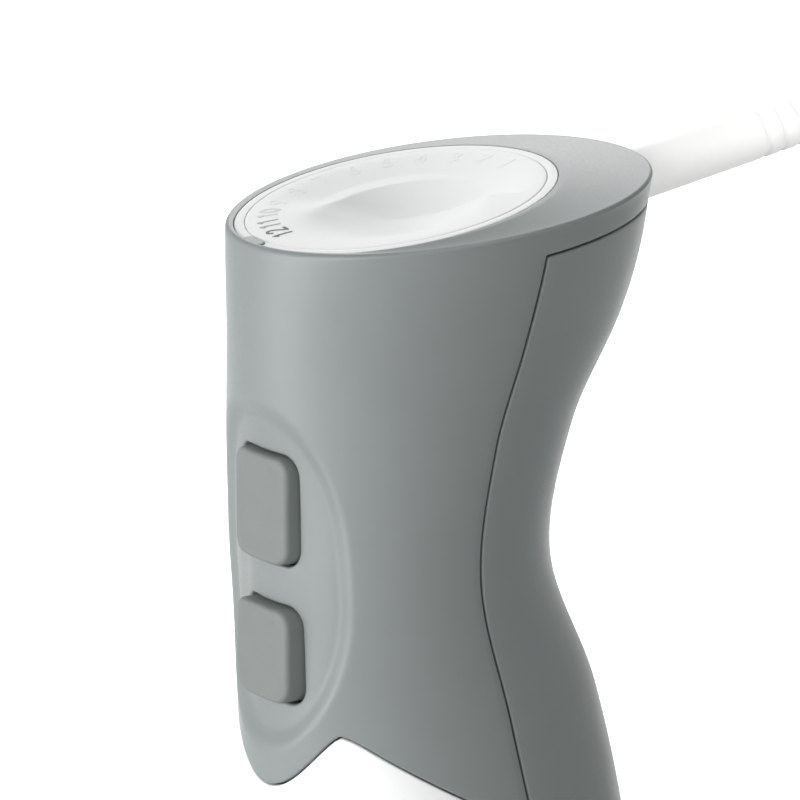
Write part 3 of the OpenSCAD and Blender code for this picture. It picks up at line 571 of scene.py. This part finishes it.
def mouth_point(a, r, drop):
    """A point at radius r around the dial's opening, below the grey top by drop."""
    y = DIAL_Y - r * math.cos(TILT) * math.cos(a)
    return np.array([r * math.sin(a), y, max(top_at(y), dial_at(y) + PROUD) - drop])


top_out, top_in = [], []
for k, a in enumerate(cols):
    o = [rim_point(k, RIM_R * (1 - math.cos(t)), RIM_R * (1 - math.sin(t))) for t in rim_turns]
    n = [rim_point(k, WALL + 0.1 * t, WALL + 0.5 - 0.2 * t) for t in rim_turns]
    start, end = rim_point(k, RIM_R, 0), mouth_point(a, OPEN_R + MOUTH_LIP, 0)
    for f in fills:
        o.append(start + (end - start) * f)
        n.append(o[-1] - np.array([0, 0, WALL]))
    for t in np.radians([30, 60, 90]):
        r = OPEN_R + MOUTH_LIP * (1 - math.sin(t))
        o.append(mouth_point(a, r, MOUTH_LIP * (1 - math.cos(t))))
        n.append(mouth_point(a, r, WALL))
    top_out.append(o)
    top_in.append(n)
outer = np.concatenate([outer, np.array(top_out)], 1)
inner = np.concatenate([inner, np.array(top_in)], 1)
shown = np.ones(outer.shape[:2], bool)
mid = np.abs(np.append(cols[:-1] + np.diff(cols) / 2, np.pi))
shown[mid > SEAM, :band_row] = False
# The button openings: half width, corner, the skin's radius there and half the block's angle
HOLE_HALF_W, HOLE_CORNER, HOLE_SKIN_R, HOLE_BLOCK = 7.6, 3.0, 22.6, math.radians(21)
blocks = []
for lo, hi in (TURBO_HOLE, ON_HOLE):
    c, r = nearest(cols, -HOLE_BLOCK, HOLE_BLOCK), nearest(zz[0], lo - 1.6, hi + 1.6)
    shown[c[0]:c[1], r[0]:r[1]] = False
    blocks.append((c, r, lo, hi))
shell = Shell()
ids = shell.grid(outer[:-1], inner[:-1], shown[:-1], True)
for c, r, lo, hi in blocks:
    hole(shell, ids, c, r, lambda i, j: (cols[i], zz[i, j]), (0.0, (lo + hi) / 2),
         rounded_rect(HOLE_HALF_W, (hi - lo) / 2, HOLE_CORNER), HOLE_SKIN_R, side, 0.4)
upper = shell.mesh("grip_shell", "motor_unit", "grey_shell", 40)
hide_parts("upper_housing")

# ------------------------ rear grip
near = SEAM + GAP / MEAN_R
far = 2 * np.pi - near
steps_a = edge_rows / MEAN_R
cols_r = np.concatenate([near + steps_a, np.linspace(near + steps_a[-1], far - steps_a[-1], 75)[1:-1],
                         (far - steps_a)[::-1]])
signed = np.where(cols_r > np.pi, cols_r - 2 * np.pi, cols_r)
z_low, z_high = joint_z(signed), edge_z(signed) - BAND_H - GAP
zz_r = np.array([np.concatenate([lo + edge_rows, np.linspace(lo + EDGE, hi - EDGE, 90)[1:-1],
                                 hi - edge_rows[::-1]]) for lo, hi in zip(z_low, z_high)])
aa_r = np.broadcast_to(cols_r[:, None], zz_r.shape)
sg = np.broadcast_to(signed[:, None], zz_r.shape)
reach_a = np.minimum(aa_r - near, far - aa_r) * MEAN_R
inset_r = round_inset(EDGE, zz_r - z_low[:, None], reach_a) + round_inset(EDGE, z_high[:, None] - zz_r)
shell = Shell()
shell.grid(side(sg, zz_r, inset_r), side(sg, zz_r, WALL), np.ones(zz_r.shape, bool), False)
grip = shell.mesh("grip_rear_shell", "motor_unit", "grey_shell", 40)
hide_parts("rear_grip")

# ------------------------ motor housing
cols_h = np.radians(np.arange(-180, 180, 2.0))
zt = joint_z(cols_h) - GAP
FOOT_EDGE = 0.6  # rounding of the housing's bottom edge
fixed_h = np.concatenate([UNIT_BOTTOM + np.concatenate([edge_steps(FOOT_EDGE), [FOOT_EDGE, 2, 4, 6]]),
                          np.arange(UNIT_BOTTOM + 8, 240, 1.25), np.arange(241, 272, 2.0)])
zz_h = np.array([np.concatenate([fixed_h, np.linspace(fixed_h[-1], t - EDGE, 14)[1:],
                                 t - edge_rows[::-1][1:]]) for t in zt])
aa_h = np.broadcast_to(cols_h[:, None], zz_h.shape)
inset_h = round_inset(EDGE, zt[:, None] - zz_h) + round_inset(FOOT_EDGE, zz_h - UNIT_BOTTOM)
shown = np.ones(zz_h.shape, bool)
# Each opening: angle, height, the skin's radius there, outline, and its block's half sizes
openings = [(s * math.pi / 2, RELEASE_Z, 27.7, rounded_rect(7.4, 9.2, 6.9), (9.3, 11.2)) for s in (-1, 1)]
openings += [(math.pi, z, 29.6, rounded_rect(9.0, 1.9, 1.85), (11.2, 3.4)) for z in (216, 224, 232)]
cols_all = np.concatenate([cols_h, cols_h + 2 * np.pi])
blocks = []
for a, z, unit, outline, (wa, hz) in openings:
    c = nearest(cols_h if a < 0 else cols_all, a - wa / unit, a + wa / unit)
    r = nearest(zz_h[0], z - hz, z + hz)
    for i in range(c[0], c[1]):
        shown[i % len(cols_h), r[0]:r[1]] = False
    blocks.append((a, z, unit, outline, c, r))
shell = Shell()
ids = shell.grid(side(aa_h, zz_h, inset_h), side(aa_h, zz_h, WALL), shown, True)
ids2 = np.concatenate([ids, ids])
for a, z, unit, outline, c, r in blocks:
    hole(shell, ids2, c, r, lambda i, j: (cols_all[i], zz_h[i % len(cols_h), j]), (a, z), outline, unit,
         side, 0.35)
housing = shell.mesh("body_shell", "motor_unit", "white_gloss", 40)
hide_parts("motor_housing")

# ------------------------ dial
DIAL_O = np.array([0, DIAL_Y, dial_at(DIAL_Y)])
DIAL_V = np.array([0, math.cos(TILT), math.sin(TILT)])
DIAL_W = np.array([0, -math.sin(TILT), math.cos(TILT)])
DIAL_BOTTOM = -3.8


def on_dial(u, v, w):
    """A point in the dial's own frame: u across, v up the slope, w out of its face."""
    u, v, w = np.broadcast_arrays(u, v, w)
    return DIAL_O + u[..., None] * np.array([1.0, 0, 0]) + v[..., None] * DIAL_V + w[..., None] * DIAL_W


# The scoop: centre, radius and depth. The crease runs past it at an angle across the face,
# and beyond the crease the face falls from DISH_R inwards.
SCOOP_U, SCOOP_V, SCOOP_R, SCOOP_DEPTH = 3.0, -1.0, 13.0, 2.9
CREASE, DISH_R, DISH_FLOOR_R, DISH_SLOPE, DISH_SOFT = math.radians(38), 20.6, 13.5, 0.12, 0.4


def dial_height(u, v):
    """The dial's face: a low outer slope, a soft crest and a finger scoop off its centre."""
    r = np.hypot(u, v)
    across = u * math.sin(CREASE) - v * math.cos(CREASE)
    along = u * math.cos(CREASE) + v * math.sin(CREASE)
    width = 0.5 + 4 * smooth(6, -8, along)
    far = smooth(-1, 1, -across / width)
    dish = DISH_SLOPE * DISH_SOFT * np.logaddexp(0, (DISH_R - np.maximum(r, DISH_FLOOR_R)) / DISH_SOFT)
    face = 0.1 - dish * far
    du, dv = u - SCOOP_U, v - SCOOP_V
    q = np.hypot(du, dv) / SCOOP_R
    bowl = SCOOP_DEPTH * (1 - q * q)
    near_right = (du * 0.55 - dv * 0.83) / (np.hypot(du, dv) + 1e-6)
    soft = 0.05 + 0.9 * smooth(-0.3, 0.9, near_right)
    drop = soft * np.logaddexp(0, bowl / soft)
    return face - drop


radii = np.concatenate([np.linspace(0.4, 21.8, 72), [22.15, 22.4, 22.54, DIAL_R]])
fall = np.concatenate([np.zeros(72), [0.0, 0.02, 0.06, 0.16]])
t = np.linspace(0, 2 * np.pi, 180, endpoint=False)
rr, tt = np.meshgrid(radii, t)
uu, vv = rr * np.cos(tt), rr * np.sin(tt)
face = on_dial(uu, vv, dial_height(uu, vv) - fall)
n_r, n_t = len(radii), len(t)
zero = np.array(0.0)
verts = [on_dial(zero, zero, dial_height(zero, zero))] + list(face.reshape(-1, 3))
skirt = on_dial(DIAL_R * np.cos(t), DIAL_R * np.sin(t), np.full(n_t, DIAL_BOTTOM))
verts += list(skirt) + [on_dial(zero, zero, np.array(DIAL_BOTTOM))]
base = 1 + n_t * n_r
faces = []
for k in range(n_t):
    here, there, after = 1 + k * n_r, 1 + (k + 1) % n_t * n_r, (k + 1) % n_t
    faces.append((0, here, there))
    faces += [(here + j, here + j + 1, there + j + 1, there + j) for j in range(n_r - 1)]
    faces.append((here + n_r - 1, base + k, base + after, there + n_r - 1))
    faces.append((base + k, base + n_t, base + after))
# The dial cap wears the darker white, painted shade against the top light.
dial = make("dial_cap", verts, faces, "dial", "white_gloss", 50, M["dial_white_painted_shade"])
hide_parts("speed_dial")

RING_IN, RING_OUT, SKIRT_R, SKIRT_BOTTOM, RING_FLOOR, SHAFT_HOLE_R = 22.66, 24.2, 23.3, -6, -4.2, 5.2
ring_line = soften([(RING_IN, RING_FLOOR), (RING_IN, 0.06), (RING_OUT, 0.04), (RING_OUT, -1.2),
                    (SKIRT_R, -1.2), (SKIRT_R, SKIRT_BOTTOM), (SHAFT_HOLE_R, SKIRT_BOTTOM),
                    (SHAFT_HOLE_R, RING_FLOOR)], 0.12)
# The ring also wears the darker white, painted shade against the top light.
bezel = make("dial_ring", *revolve(ring_line, 180, DIAL_O, DIAL_W), "motor_unit", "white_gloss", 40,
             M["dial_white_painted_shade"])
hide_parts("dial_bezel")

# ------------------------ dial scale and pointer
DIGITS = {
    "0": [(.27, 1), (.05, .75), (0, .5), (.05, .25), (.27, 0), (.5, .25), (.55, .5), (.5, .75), (.27, 1)],
    "1": [(.1, .8), (.33, 1), (.33, 0)],
    "2": [(.03, .78), (.12, .95), (.3, 1), (.5, .9), (.52, .7), (.4, .5), (.02, 0), (.56, 0)],
    "3": [(.04, .85), (.25, 1), (.5, .88), (.48, .64), (.25, .53), (.5, .42), (.54, .18), (.28, 0),
          (.02, .14)],
    "4": [(.42, 0), (.42, 1), (0, .3), (.58, .3)],
    "5": [(.5, 1), (.1, 1), (.05, .55), (.3, .62), (.53, .45), (.52, .18), (.28, 0), (.02, .12)],
    "6": [(.45, .97), (.2, .8), (.03, .4), (.1, .08), (.3, 0), (.52, .15), (.52, .42), (.3, .55),
          (.06, .4)],
    "7": [(0, 1), (.55, 1), (.2, 0)],
    "8": [(.28, .53), (.06, .68), (.1, .92), (.28, 1), (.46, .92), (.5, .68), (.28, .53), (.03, .36),
          (.06, .08), (.28, 0), (.5, .08), (.53, .36), (.28, .53)],
    "9": [(.1, .03), (.35, .2), (.52, .6), (.45, .92), (.25, 1), (.03, .85), (.03, .58), (.25, .45),
          (.49, .6)],
}
# Angles are in degrees on the dial's face, and DIGITS are strokes in units of a digit's height
SCALE_R, SCALE_START, SCALE_STEP, DIGIT_H, DIGIT_GAP, INK_HALF = 19.1, -97.0, -16.0, 3.0, 0.7, 0.22


def ribbon(points):
    """A thin closed strip on the dial's face along a stroke given as (u, v) points."""
    p = []
    for a, b in zip(points[:-1], points[1:]):
        a, b = np.array(a), np.array(b)
        n = max(2, int(np.linalg.norm(b - a) / 0.18))
        p += [a + (b - a) * k / n for k in range(n)]
    p = np.array(p + [np.array(points[-1])])
    d = np.gradient(p, axis=0)
    d /= np.linalg.norm(d, axis=1)[:, None] + 1e-9
    nor = np.stack([-d[:, 1], d[:, 0]], -1) * INK_HALF
    verts = []
    for q, lift in ((p + nor, 0.05), (p - nor, 0.05), (p + nor, -0.15), (p - nor, -0.15)):
        verts.append(on_dial(q[:, 0], q[:, 1], dial_height(q[:, 0], q[:, 1]) + lift))
    n = len(p)
    faces = [(a * n + k, b * n + k, b * n + k + 1, a * n + k + 1)
             for k in range(n - 1) for a, b in ((0, 1), (1, 3), (3, 2), (2, 0))]
    faces += [(0, 2 * n, 3 * n, n), (n - 1, 2 * n - 1, 4 * n - 1, 3 * n - 1)]
    return np.concatenate(verts), faces


inks = [("dark", surface("ink_dark", (70, 72, 74), 0.5, grain=SATIN), "black_plastic", (12,)),
        ("mid", surface("ink_mid", (150, 152, 153), 0.5, grain=SATIN), "button_grey", (11,)),
        ("pale", surface("ink_pale", (196, 198, 198), 0.5, grain=SATIN), "button_grey", (10,)),
        # The relief numerals wear the dial's darker white, which carries painted shade.
        ("relief", M["dial_white_painted_shade"], "white_gloss", range(1, 10))]
for ink, material, slot, numbers in inks:
    parts = []
    for number in numbers:
        ang = math.radians(SCALE_START + SCALE_STEP * (12 - number))
        up = np.array([math.cos(ang), math.sin(ang)])
        across = np.array([up[1], -up[0]])
        figures, pitch = str(number), 0.55 * DIGIT_H + DIGIT_GAP
        for k, digit in enumerate(figures):
            shift = (k - (len(figures) - 1) / 2) * pitch - 0.28 * DIGIT_H
            parts.append(ribbon([up * (SCALE_R + (y - 0.5) * DIGIT_H) + across * (shift + x * DIGIT_H)
                                 for x, y in DIGITS[digit]]))
    make("dial_scale_" + ink, *merge(parts), "dial", slot, material=material)


def pad(outline, place, edge, back, rings=12):
    """A closed cushion-edged pad: place(u, v, drop) gives the point below its front face."""
    pts, nor = outline
    pts, nor = pts[::6], nor[::6]
    n = len(pts)
    loops = [(pts - nor * edge) * f for f in np.linspace(0.08, 1, rings)]
    drops = [0.0] * rings
    for phi in np.radians([22.5, 45, 67.5, 90]):
        loops.append(pts - nor * edge * (1 - math.sin(phi)))
        drops.append(edge * (1 - math.cos(phi)))
    loops.append(pts)
    drops.append(back)
    verts = [place(np.zeros(1), np.zeros(1), 0.0)[0]]
    for q, drop in zip(loops, drops):
        verts += list(place(q[:, 0], q[:, 1], drop))
    verts.append(place(np.zeros(1), np.zeros(1), back)[0])
    m = len(loops)
    faces = [(0, 1 + (k + 1) % n, 1 + k) for k in range(n)]
    faces += quads(m, n, first=1)
    faces += [(1 + (m - 1) * n + k, 1 + (m - 1) * n + (k + 1) % n, 1 + m * n) for k in range(n)]
    return np.array(verts), faces


TAB_ANGLE, TAB_R, TAB_TOP = math.radians(-95.5), 23.75, 0.3


def tab_place(u, v, drop):
    c, s, r = math.cos(TAB_ANGLE), math.sin(TAB_ANGLE), TAB_R + v
    return on_dial(r * c - u * s, r * s + u * c, TAB_TOP - drop + 0 * u)


make("dial_pointer", *pad(rounded_rect(2.7, 0.95, 0.9), tab_place, 0.2, 1.2), "motor_unit", "grey_shell")

# ------------------------ buttons
# Front faces: a shallow cylinder about Z, cut by a wide one about X; then depth and flange
FACE_R, FACE_Y, DISHED_R, DISHED_Y = 29.8, -1.3, 40.6, -71
CAP_DEPTH, FLANGE_FRONT, FLANGE_T, STEM_R, STEM_FRONT, STEM_LENGTH = 6.8, -24.4, 1.2, 2, -24, 7
for name, (lo, hi) in (("on_button", ON_HOLE), ("turbo_button", TURBO_HOLE)):
    mid_z, half_h = (lo + hi) / 2, (hi - lo) / 2 - 0.4

    def front_face(u, v, drop, mid_z=mid_z):
        y = np.maximum(FACE_Y - np.sqrt(FACE_R ** 2 - u * u), DISHED_Y + np.sqrt(DISHED_R ** 2 - v * v))
        return np.stack([u, y + drop, mid_z + v], -1)

    def flange_face(u, v, drop, mid_z=mid_z):
        return np.stack([u, FLANGE_FRONT + drop + 0.0 * u, mid_z + v], -1)

    cap = pad(rounded_rect(7.2, half_h, 2.7), front_face, 0.7, CAP_DEPTH)
    flange = pad(rounded_rect(9, half_h + 1.2, 1.0), flange_face, 0.15, FLANGE_T)
    stem_line = soften([(0, 0), (STEM_R, 0), (STEM_R, STEM_LENGTH), (0, STEM_LENGTH)], 0.3, keep=(0, 3))
    stem = revolve(stem_line, 48, (0, STEM_FRONT, mid_z), (0, 1, 0))
    key = make(name + "_cap", *merge([cap, flange, stem]), name, "button_grey")
    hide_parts(name)
RELEASE_X, RELEASE_DEPTH, RIB_H, RIBS = 28.75, 1.55, 0.4, (-4.4, -2.2, 0, 2.2, 4.4)
for name, s in (("release_right", 1), ("release_left", -1)):
    def side_face(u, v, drop, s=s):
        ribs = sum(np.exp(-((v - c) / 0.45) ** 2) for c in RIBS)
        inside = smooth(5.4, 4.2, np.abs(u)) * smooth(7, 6, np.abs(v))
        x = RELEASE_X + RIB_H * ribs * inside * (drop == 0) - 0.004 * u * u
        return np.stack([s * (x - drop), s * u, RELEASE_Z + v], -1)

    key = make(name + "_cap", *pad(rounded_rect(6.5, 8.3, 6.3), side_face, 0.6, RELEASE_DEPTH, 26),
               name, "grey_shell")
    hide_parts(name)


def spring(name, node, joint, fixed, out, radius, turns, length, travel):
    """A coil spring from its fixed end along out. joint and travel are not used."""
    out = np.array(out, float)
    side_a = np.array([0, 0, 1.0])
    side_b = np.cross(out, side_a)
    wire = 0.35
    t = np.linspace(0, 2 * np.pi * turns, 20 * turns + 1)
    along = wire + (length - 2 * wire) * t / t[-1]
    path = (np.array(fixed, float) + along[:, None] * out
            + radius * (np.cos(t)[:, None] * side_a + np.sin(t)[:, None] * side_b))
    coil_wire = make(name, *tube(path, wire, 10), "motor_unit", slot_of[node], 50)
    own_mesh(coil_wire)
    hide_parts(node)


BUTTON_SPRING = (3.1, 4, 4.6, 2.2)   # radius, turns, length, travel
LATCH_SPRING = (2.0, 6, 10.0, 2.5)
for name, (lo, hi) in (("on", ON_HOLE), ("turbo", TURBO_HOLE)):
    spring(name + "_spring_coil", name + "_spring", name + "_press", (0, -18.6, (lo + hi) / 2),
           (0, -1, 0), *BUTTON_SPRING)
for name, s in (("right", 1), ("left", -1)):
    spring("latch_spring_" + name, "latch_springs", "release_" + name + "_press", (17.1 * s, 0, 193.2),
           (s, 0, 0), *LATCH_SPRING)

# ------------------------ foot
# Profiles of (radius, height)
collar_line = [(15, 190.5), (15, 190.2), (13.4, 189.8), (13.4, 184.4), (15, 183.8), (15, 167.7),
               (23.4, 167.7), (23.85, 164), (23.4, 159), (21.6, 152), (19.2, 147), (16.4, 141.5),
               (14.2, 136), (13, 132), (10.55, 132), (10.55, 150), (6, 150), (6, 176), (9.3, 176),
               (9.3, 190.5)]
collar = make("foot_collar_shell", *revolve(soften(collar_line, 0.5, 4), 128), "foot", "white_gloss", 30)
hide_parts("foot_collar")
tube_line = soften([(9.7, 57.2), (10.5, 57.2), (10.5, 149.8), (9.7, 149.8)], 0.2)
stem = make("foot_stem", *revolve(tube_line, 96), "foot", "steel")
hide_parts("foot_tube")

BELL_R, BELL_WALL, BELL_SIDE, BELL_TOP, NECK_R, NECK_TOP = 32.0, 1.4, 26.0, 56.0, 12.0, 66.0
cols_b = np.radians(np.arange(-180, 180, 3.0))
BELL_EDGE, NECK_EDGE = 0.6, 0.5
z_cyl = np.concatenate([edge_steps(BELL_EDGE), [BELL_EDGE, 1.2, 2.4, 3.6], np.arange(5, 25.6, 1.25),
                        [BELL_SIDE]])
arc = np.radians(np.arange(6, 91, 6))[::-1] - math.radians(6)
dome_o = np.stack([NECK_R + (BELL_R - NECK_R) * np.sin(arc),
                   BELL_SIDE + (BELL_TOP - BELL_SIDE) * np.cos(arc)], -1)
dome_i = np.stack([NECK_R - 1.35 + (BELL_R - NECK_R) * np.sin(arc),
                   BELL_SIDE + (BELL_TOP - BELL_SIDE - BELL_WALL) * np.cos(arc)], -1)
neck_z = np.concatenate([[57.5, 59, 61, 63, NECK_TOP - NECK_EDGE],
                         NECK_TOP - edge_steps(NECK_EDGE, 3)[::-1]])
neck_in = round_inset(NECK_EDGE, NECK_TOP - neck_z)
line_o = np.concatenate([np.stack([BELL_R - round_inset(BELL_EDGE, z_cyl), z_cyl], -1), dome_o,
                         np.stack([NECK_R - neck_in, neck_z], -1)])
line_i = np.concatenate([np.stack([np.full(len(z_cyl), BELL_R - BELL_WALL), z_cyl], -1), dome_i,
                         np.stack([np.full(len(neck_z), 10.6), neck_z], -1)])


def spin(line):
    """The bell's grid: a profile of (radius, height) at every column."""
    r, z = line[None, :, 0], line[None, :, 1] + 0 * cols_b[:, None]
    return np.stack([r * np.sin(cols_b)[:, None], -r * np.cos(cols_b)[:, None], z], -1)


def bell_skin(a, z, inset):
    """A point on the bell's cylindrical side."""
    a, z = np.broadcast_arrays(np.asarray(a, float), np.asarray(z, float))
    r = BELL_R - inset
    return np.stack([r * np.sin(a), -r * np.cos(a), z], -1)


WINDOW_Z, WINDOW_BLOCK = 15.0, math.radians(15)
shown = np.ones((len(cols_b), len(line_o)), bool)
blocks = []
cols_2 = np.concatenate([cols_b, cols_b + 2 * np.pi])
for quarter in (-0.5, 0.0, 0.5, 1.0):
    centre = quarter * math.pi
    c = nearest(cols_2, centre - WINDOW_BLOCK, centre + WINDOW_BLOCK)
    r = nearest(z_cyl, 3.6, 26.0)
    for i in range(c[0], c[1]):
        shown[i % len(cols_b), r[0]:r[1]] = False
    blocks.append((centre, c, r))
shell = Shell()
ids = shell.grid(spin(line_o), spin(line_i), shown, True)
ids2 = np.concatenate([ids, ids])
for centre, c, r in blocks:
    hole(shell, ids2, c, r, lambda i, j: (cols_2[i], z_cyl[j]), (centre, WINDOW_Z),
         rounded_rect(6.5, 9.5, 6.4), BELL_R, bell_skin, 0.3, BELL_WALL)
bell = shell.mesh("bell_shell", "foot", "steel", 30)
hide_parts("bell_guard")
hub_line = soften([(8.5, 54.4), (8.5, 44), (6, 44), (6, 57), (10.5, 57), (10.5, 54.4)], 0.3)
make("bell_bearing_housing", *revolve(hub_line, 96), "foot", "steel")


def loft(sections, n=72):
    """A closed body of superellipse sections: (x, half width, half height, exponent)."""
    t = np.linspace(0, 2 * np.pi, n, endpoint=False)
    verts = []
    for x, w, h, p in sections:
        c, s = np.cos(t), np.sin(t)
        verts += list(np.stack([np.full(n, float(x)), w * np.sign(c) * np.abs(c) ** (2 / p),
                                h * np.sign(s) * np.abs(s) ** (2 / p)], -1))
    m = len(sections)
    faces = quads(m, n)
    faces += [tuple(range(n - 1, -1, -1)), tuple((m - 1) * n + k for k in range(n))]
    return np.array(verts), faces


BLADE_Z, BLADE_TIP, BLADE_TWIST = 13.4, 21.8, math.radians(14)
wings = []
for turn in (0, math.pi):
    sections = []
    for x in np.linspace(4.5, BLADE_TIP, 24):
        chord = 4.2 - 0.5 * smooth(5, 14, x) - 3.5 * smooth(13.5, BLADE_TIP, x) ** 1.3
        sections.append((x, chord, 0.55 - 0.2 * smooth(14, BLADE_TIP, x), 1.3))
    v, f = loft(sections, 32)
    lift = 0.9 * smooth(11, BLADE_TIP, v[:, 0]) * (1 if turn else -1)
    x, c, s = v[:, 0].copy(), math.cos(BLADE_TWIST), math.sin(BLADE_TWIST)
    y = v[:, 1] * c - v[:, 2] * s
    z = v[:, 1] * s + v[:, 2] * c + BLADE_Z + lift
    v = np.stack([x * math.cos(turn) - y * math.sin(turn), x * math.sin(turn) + y * math.cos(turn), z], -1)
    wings.append((v, f))
disc_line = soften([(5.52, 12.8), (7.5, 12.8), (7.5, 14), (5.52, 14)], 0.3)
cutter = make("blade_wings", *merge(wings + [revolve(disc_line, 64)]), "blade_drive", "bright_steel")
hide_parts("blade")

# ------------------------ plug and tie
PLUG_FACE = -78.0
sections = [(0, 15.6, 5.7, 4.5), (0.12, 16.1, 6.2, 4.5), (0.45, 16.55, 6.6, 4.5), (1.0, 16.8, 6.85, 4.5),
            (6, 16.8, 6.85, 4.5), (12, 16.75, 6.85, 4.5)]
for x in np.linspace(13.5, 30, 34):
    w = 16.6 + (12.2 - 16.6) * smooth(13, 22, x) + (6.9 - 12.2) * smooth(20, 31, x)
    groove = 0.35 * max(0.0, math.sin((x - 13.5) / 2.2 * math.pi)) ** 2
    sections.append((x, w - groove, 6.85 - 0.5 * smooth(14, 33, x), 4.5 - 2.2 * smooth(14, 33, x)))
sections += [(33, 6.4, 6.2, 2.2), (35.2, 6.1, 6.0, 2.1), (36, 5.5, 5.5, 2), (36.3, 5.0, 5.0, 2)]
for k in range(4):
    x = 38 + 3.2 * k
    r = 5.0 - 0.055 * (x - 36)
    sections += [(x, r, r, 2), (x + 0.25, r - 0.45, r - 0.45, 2), (x + 1.0, r - 0.45, r - 0.45, 2),
                 (x + 1.25, r - 0.05, r - 0.05, 2)]
sections += [(52.4, 4.05, 4.05, 2), (53, 3.8, 3.8, 2)]
v, f = loft(sections)
v += np.array([PLUG_FACE, PLUG_Y, PLUG_H / 2])
plug = make("plug_shell", v, f, "motor_unit", "white_cord", 40)
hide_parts("plug_body")

STRAP_X, STRAP_Z = 37.5, 7.25
outline, nor = rounded_rect(7.7, 7.2, 2.6)
outline, nor = outline[::8], nor[::8]
n = len(outline)
strap_edge = [(0.0, 3.7), (0.1, 3.9), (0.25, 4.0), (0.6, 4.0), (0.72, 3.9), (0.78, 3.7)]
strap_rows = strap_edge + [(inset, -half) for inset, half in strap_edge[::-1]]
verts = []
for inset, half in strap_rows:
    q = outline - nor * inset
    verts += list(np.stack([STRAP_X + q[:, 0], np.full(n, COIL_Y + half), STRAP_Z + q[:, 1]], -1))
faces = quads(len(strap_rows), n, wrap=True)
strap = make("coil_strap", verts, faces, "motor_unit", "rubber_black", 40)
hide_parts("cord_tie")

# ------------------------ floor, light, world
floor_mat = surface("floor", (236, 236, 236), 0.6, spec=0.2, grain=(60.0, 0.1, 0.1), tone=0.004)
# The floor glows faintly away from the object, so that it stays pale as far as the horizon
fn, fl = floor_mat.node_tree.nodes, floor_mat.node_tree.links
floor_where = fn.new("ShaderNodeTexCoord")
floor_far = fn.new("ShaderNodeVectorMath")
floor_far.operation = "LENGTH"
fl.new(floor_where.outputs["Object"], floor_far.inputs[0])
glow = remap(fn, 0.3, 1.3, 0.0, 0.32, kind="SMOOTHSTEP")
fl.new(floor_far.outputs["Value"], glow.inputs["Value"])
fl.new(glow.outputs["Result"], fn["Principled BSDF"].inputs["Emission Strength"])
fn["Principled BSDF"].inputs["Emission Color"].default_value = (1, 1, 1, 1)
n = 128
t = np.linspace(0, 2 * np.pi, n, endpoint=False)
FLOOR_Z = -0.3
rings = [0.0001, 400, 1200, 3000, 9000]
verts = [(r * math.cos(a), r * math.sin(a), FLOOR_Z) for r in rings for a in t]
me = bpy.data.meshes.new("studio_floor")
me.from_pydata((np.array(verts) * MM).tolist(), [], quads(len(rings), n))
me.materials.append(floor_mat)
floor = bpy.data.objects.new("studio_floor", me)
bpy.context.scene.collection.objects.link(floor)

LIT, LIGHT_DISTANCE = (0, 0, 0.33), 1.4


def area(name, azimuth, elevation, size, power):
    """A soft box seen from LIT at that azimuth (0 is in front, at -Y) and elevation."""
    data = bpy.data.lights.new(name, "AREA")
    data.shape, data.size, data.energy = "DISK", size, power
    ob = bpy.data.objects.new(name, data)
    a, e = math.radians(azimuth), math.radians(elevation)
    out = Vector((math.sin(a) * math.cos(e), -math.cos(a) * math.cos(e), math.sin(e)))
    ob.location = Vector(LIT) + out * LIGHT_DISTANCE
    ob.rotation_mode = "QUATERNION"
    ob.rotation_quaternion = out.to_track_quat("Z", "Y")
    ob.visible_camera = False
    bpy.context.scene.collection.objects.link(ob)


def spot(name, place, aim_at, power, degrees, edge_blend, source_size):
    """A spot lamp at a place, turned to a point."""
    data = bpy.data.lights.new(name, "SPOT")
    data.energy, data.spot_size, data.spot_blend = power, math.radians(degrees), edge_blend
    data.shadow_soft_size = source_size
    ob = bpy.data.objects.new(name, data)
    ob.location = place
    ob.rotation_mode = "QUATERNION"
    ob.rotation_quaternion = (ob.location - Vector(aim_at)).to_track_quat("Z", "Y")
    bpy.context.scene.collection.objects.link(ob)


area("key_low", -20, 3, 0.9, 10)
area("key_high", 10, 20, 0.9, 10.5)
area("fill", 57, 50, 0.8, 1.0)
area("top", 57, 85, 0.8, 4.0)
area("behind", 237, 27, 0.9, 5.6)
spot("floor_wash", (-1.43, 0.92, 2.1), (-1.43, 0.92, 0), 330, 62, 0.6, 0.25)
spot("lead_snoot", (0.72, 0.128, 0.732), (0, 0.078, 0.392), 24, 6, 0.35, 0.05)

world = bpy.data.worlds.new("studio")
bpy.context.scene.world = world
world.use_nodes = True
wn, wl = world.node_tree.nodes, world.node_tree.links
coord = wn.new("ShaderNodeTexCoord")
split = wn.new("ShaderNodeSeparateXYZ")
wl.new(coord.outputs["Generated"], split.inputs["Vector"])
level = remap(wn, 0.08, 0.36, 0.78, 0.18, kind="SMOOTHSTEP")
wl.new(split.outputs["Z"], level.inputs["Value"])
wl.new(level.outputs["Result"], wn["Background"].inputs["Strength"])
wn["Background"].inputs["Color"].default_value = (1, 1, 1, 1)
bpy.context.scene.view_settings.view_transform = "Standard"
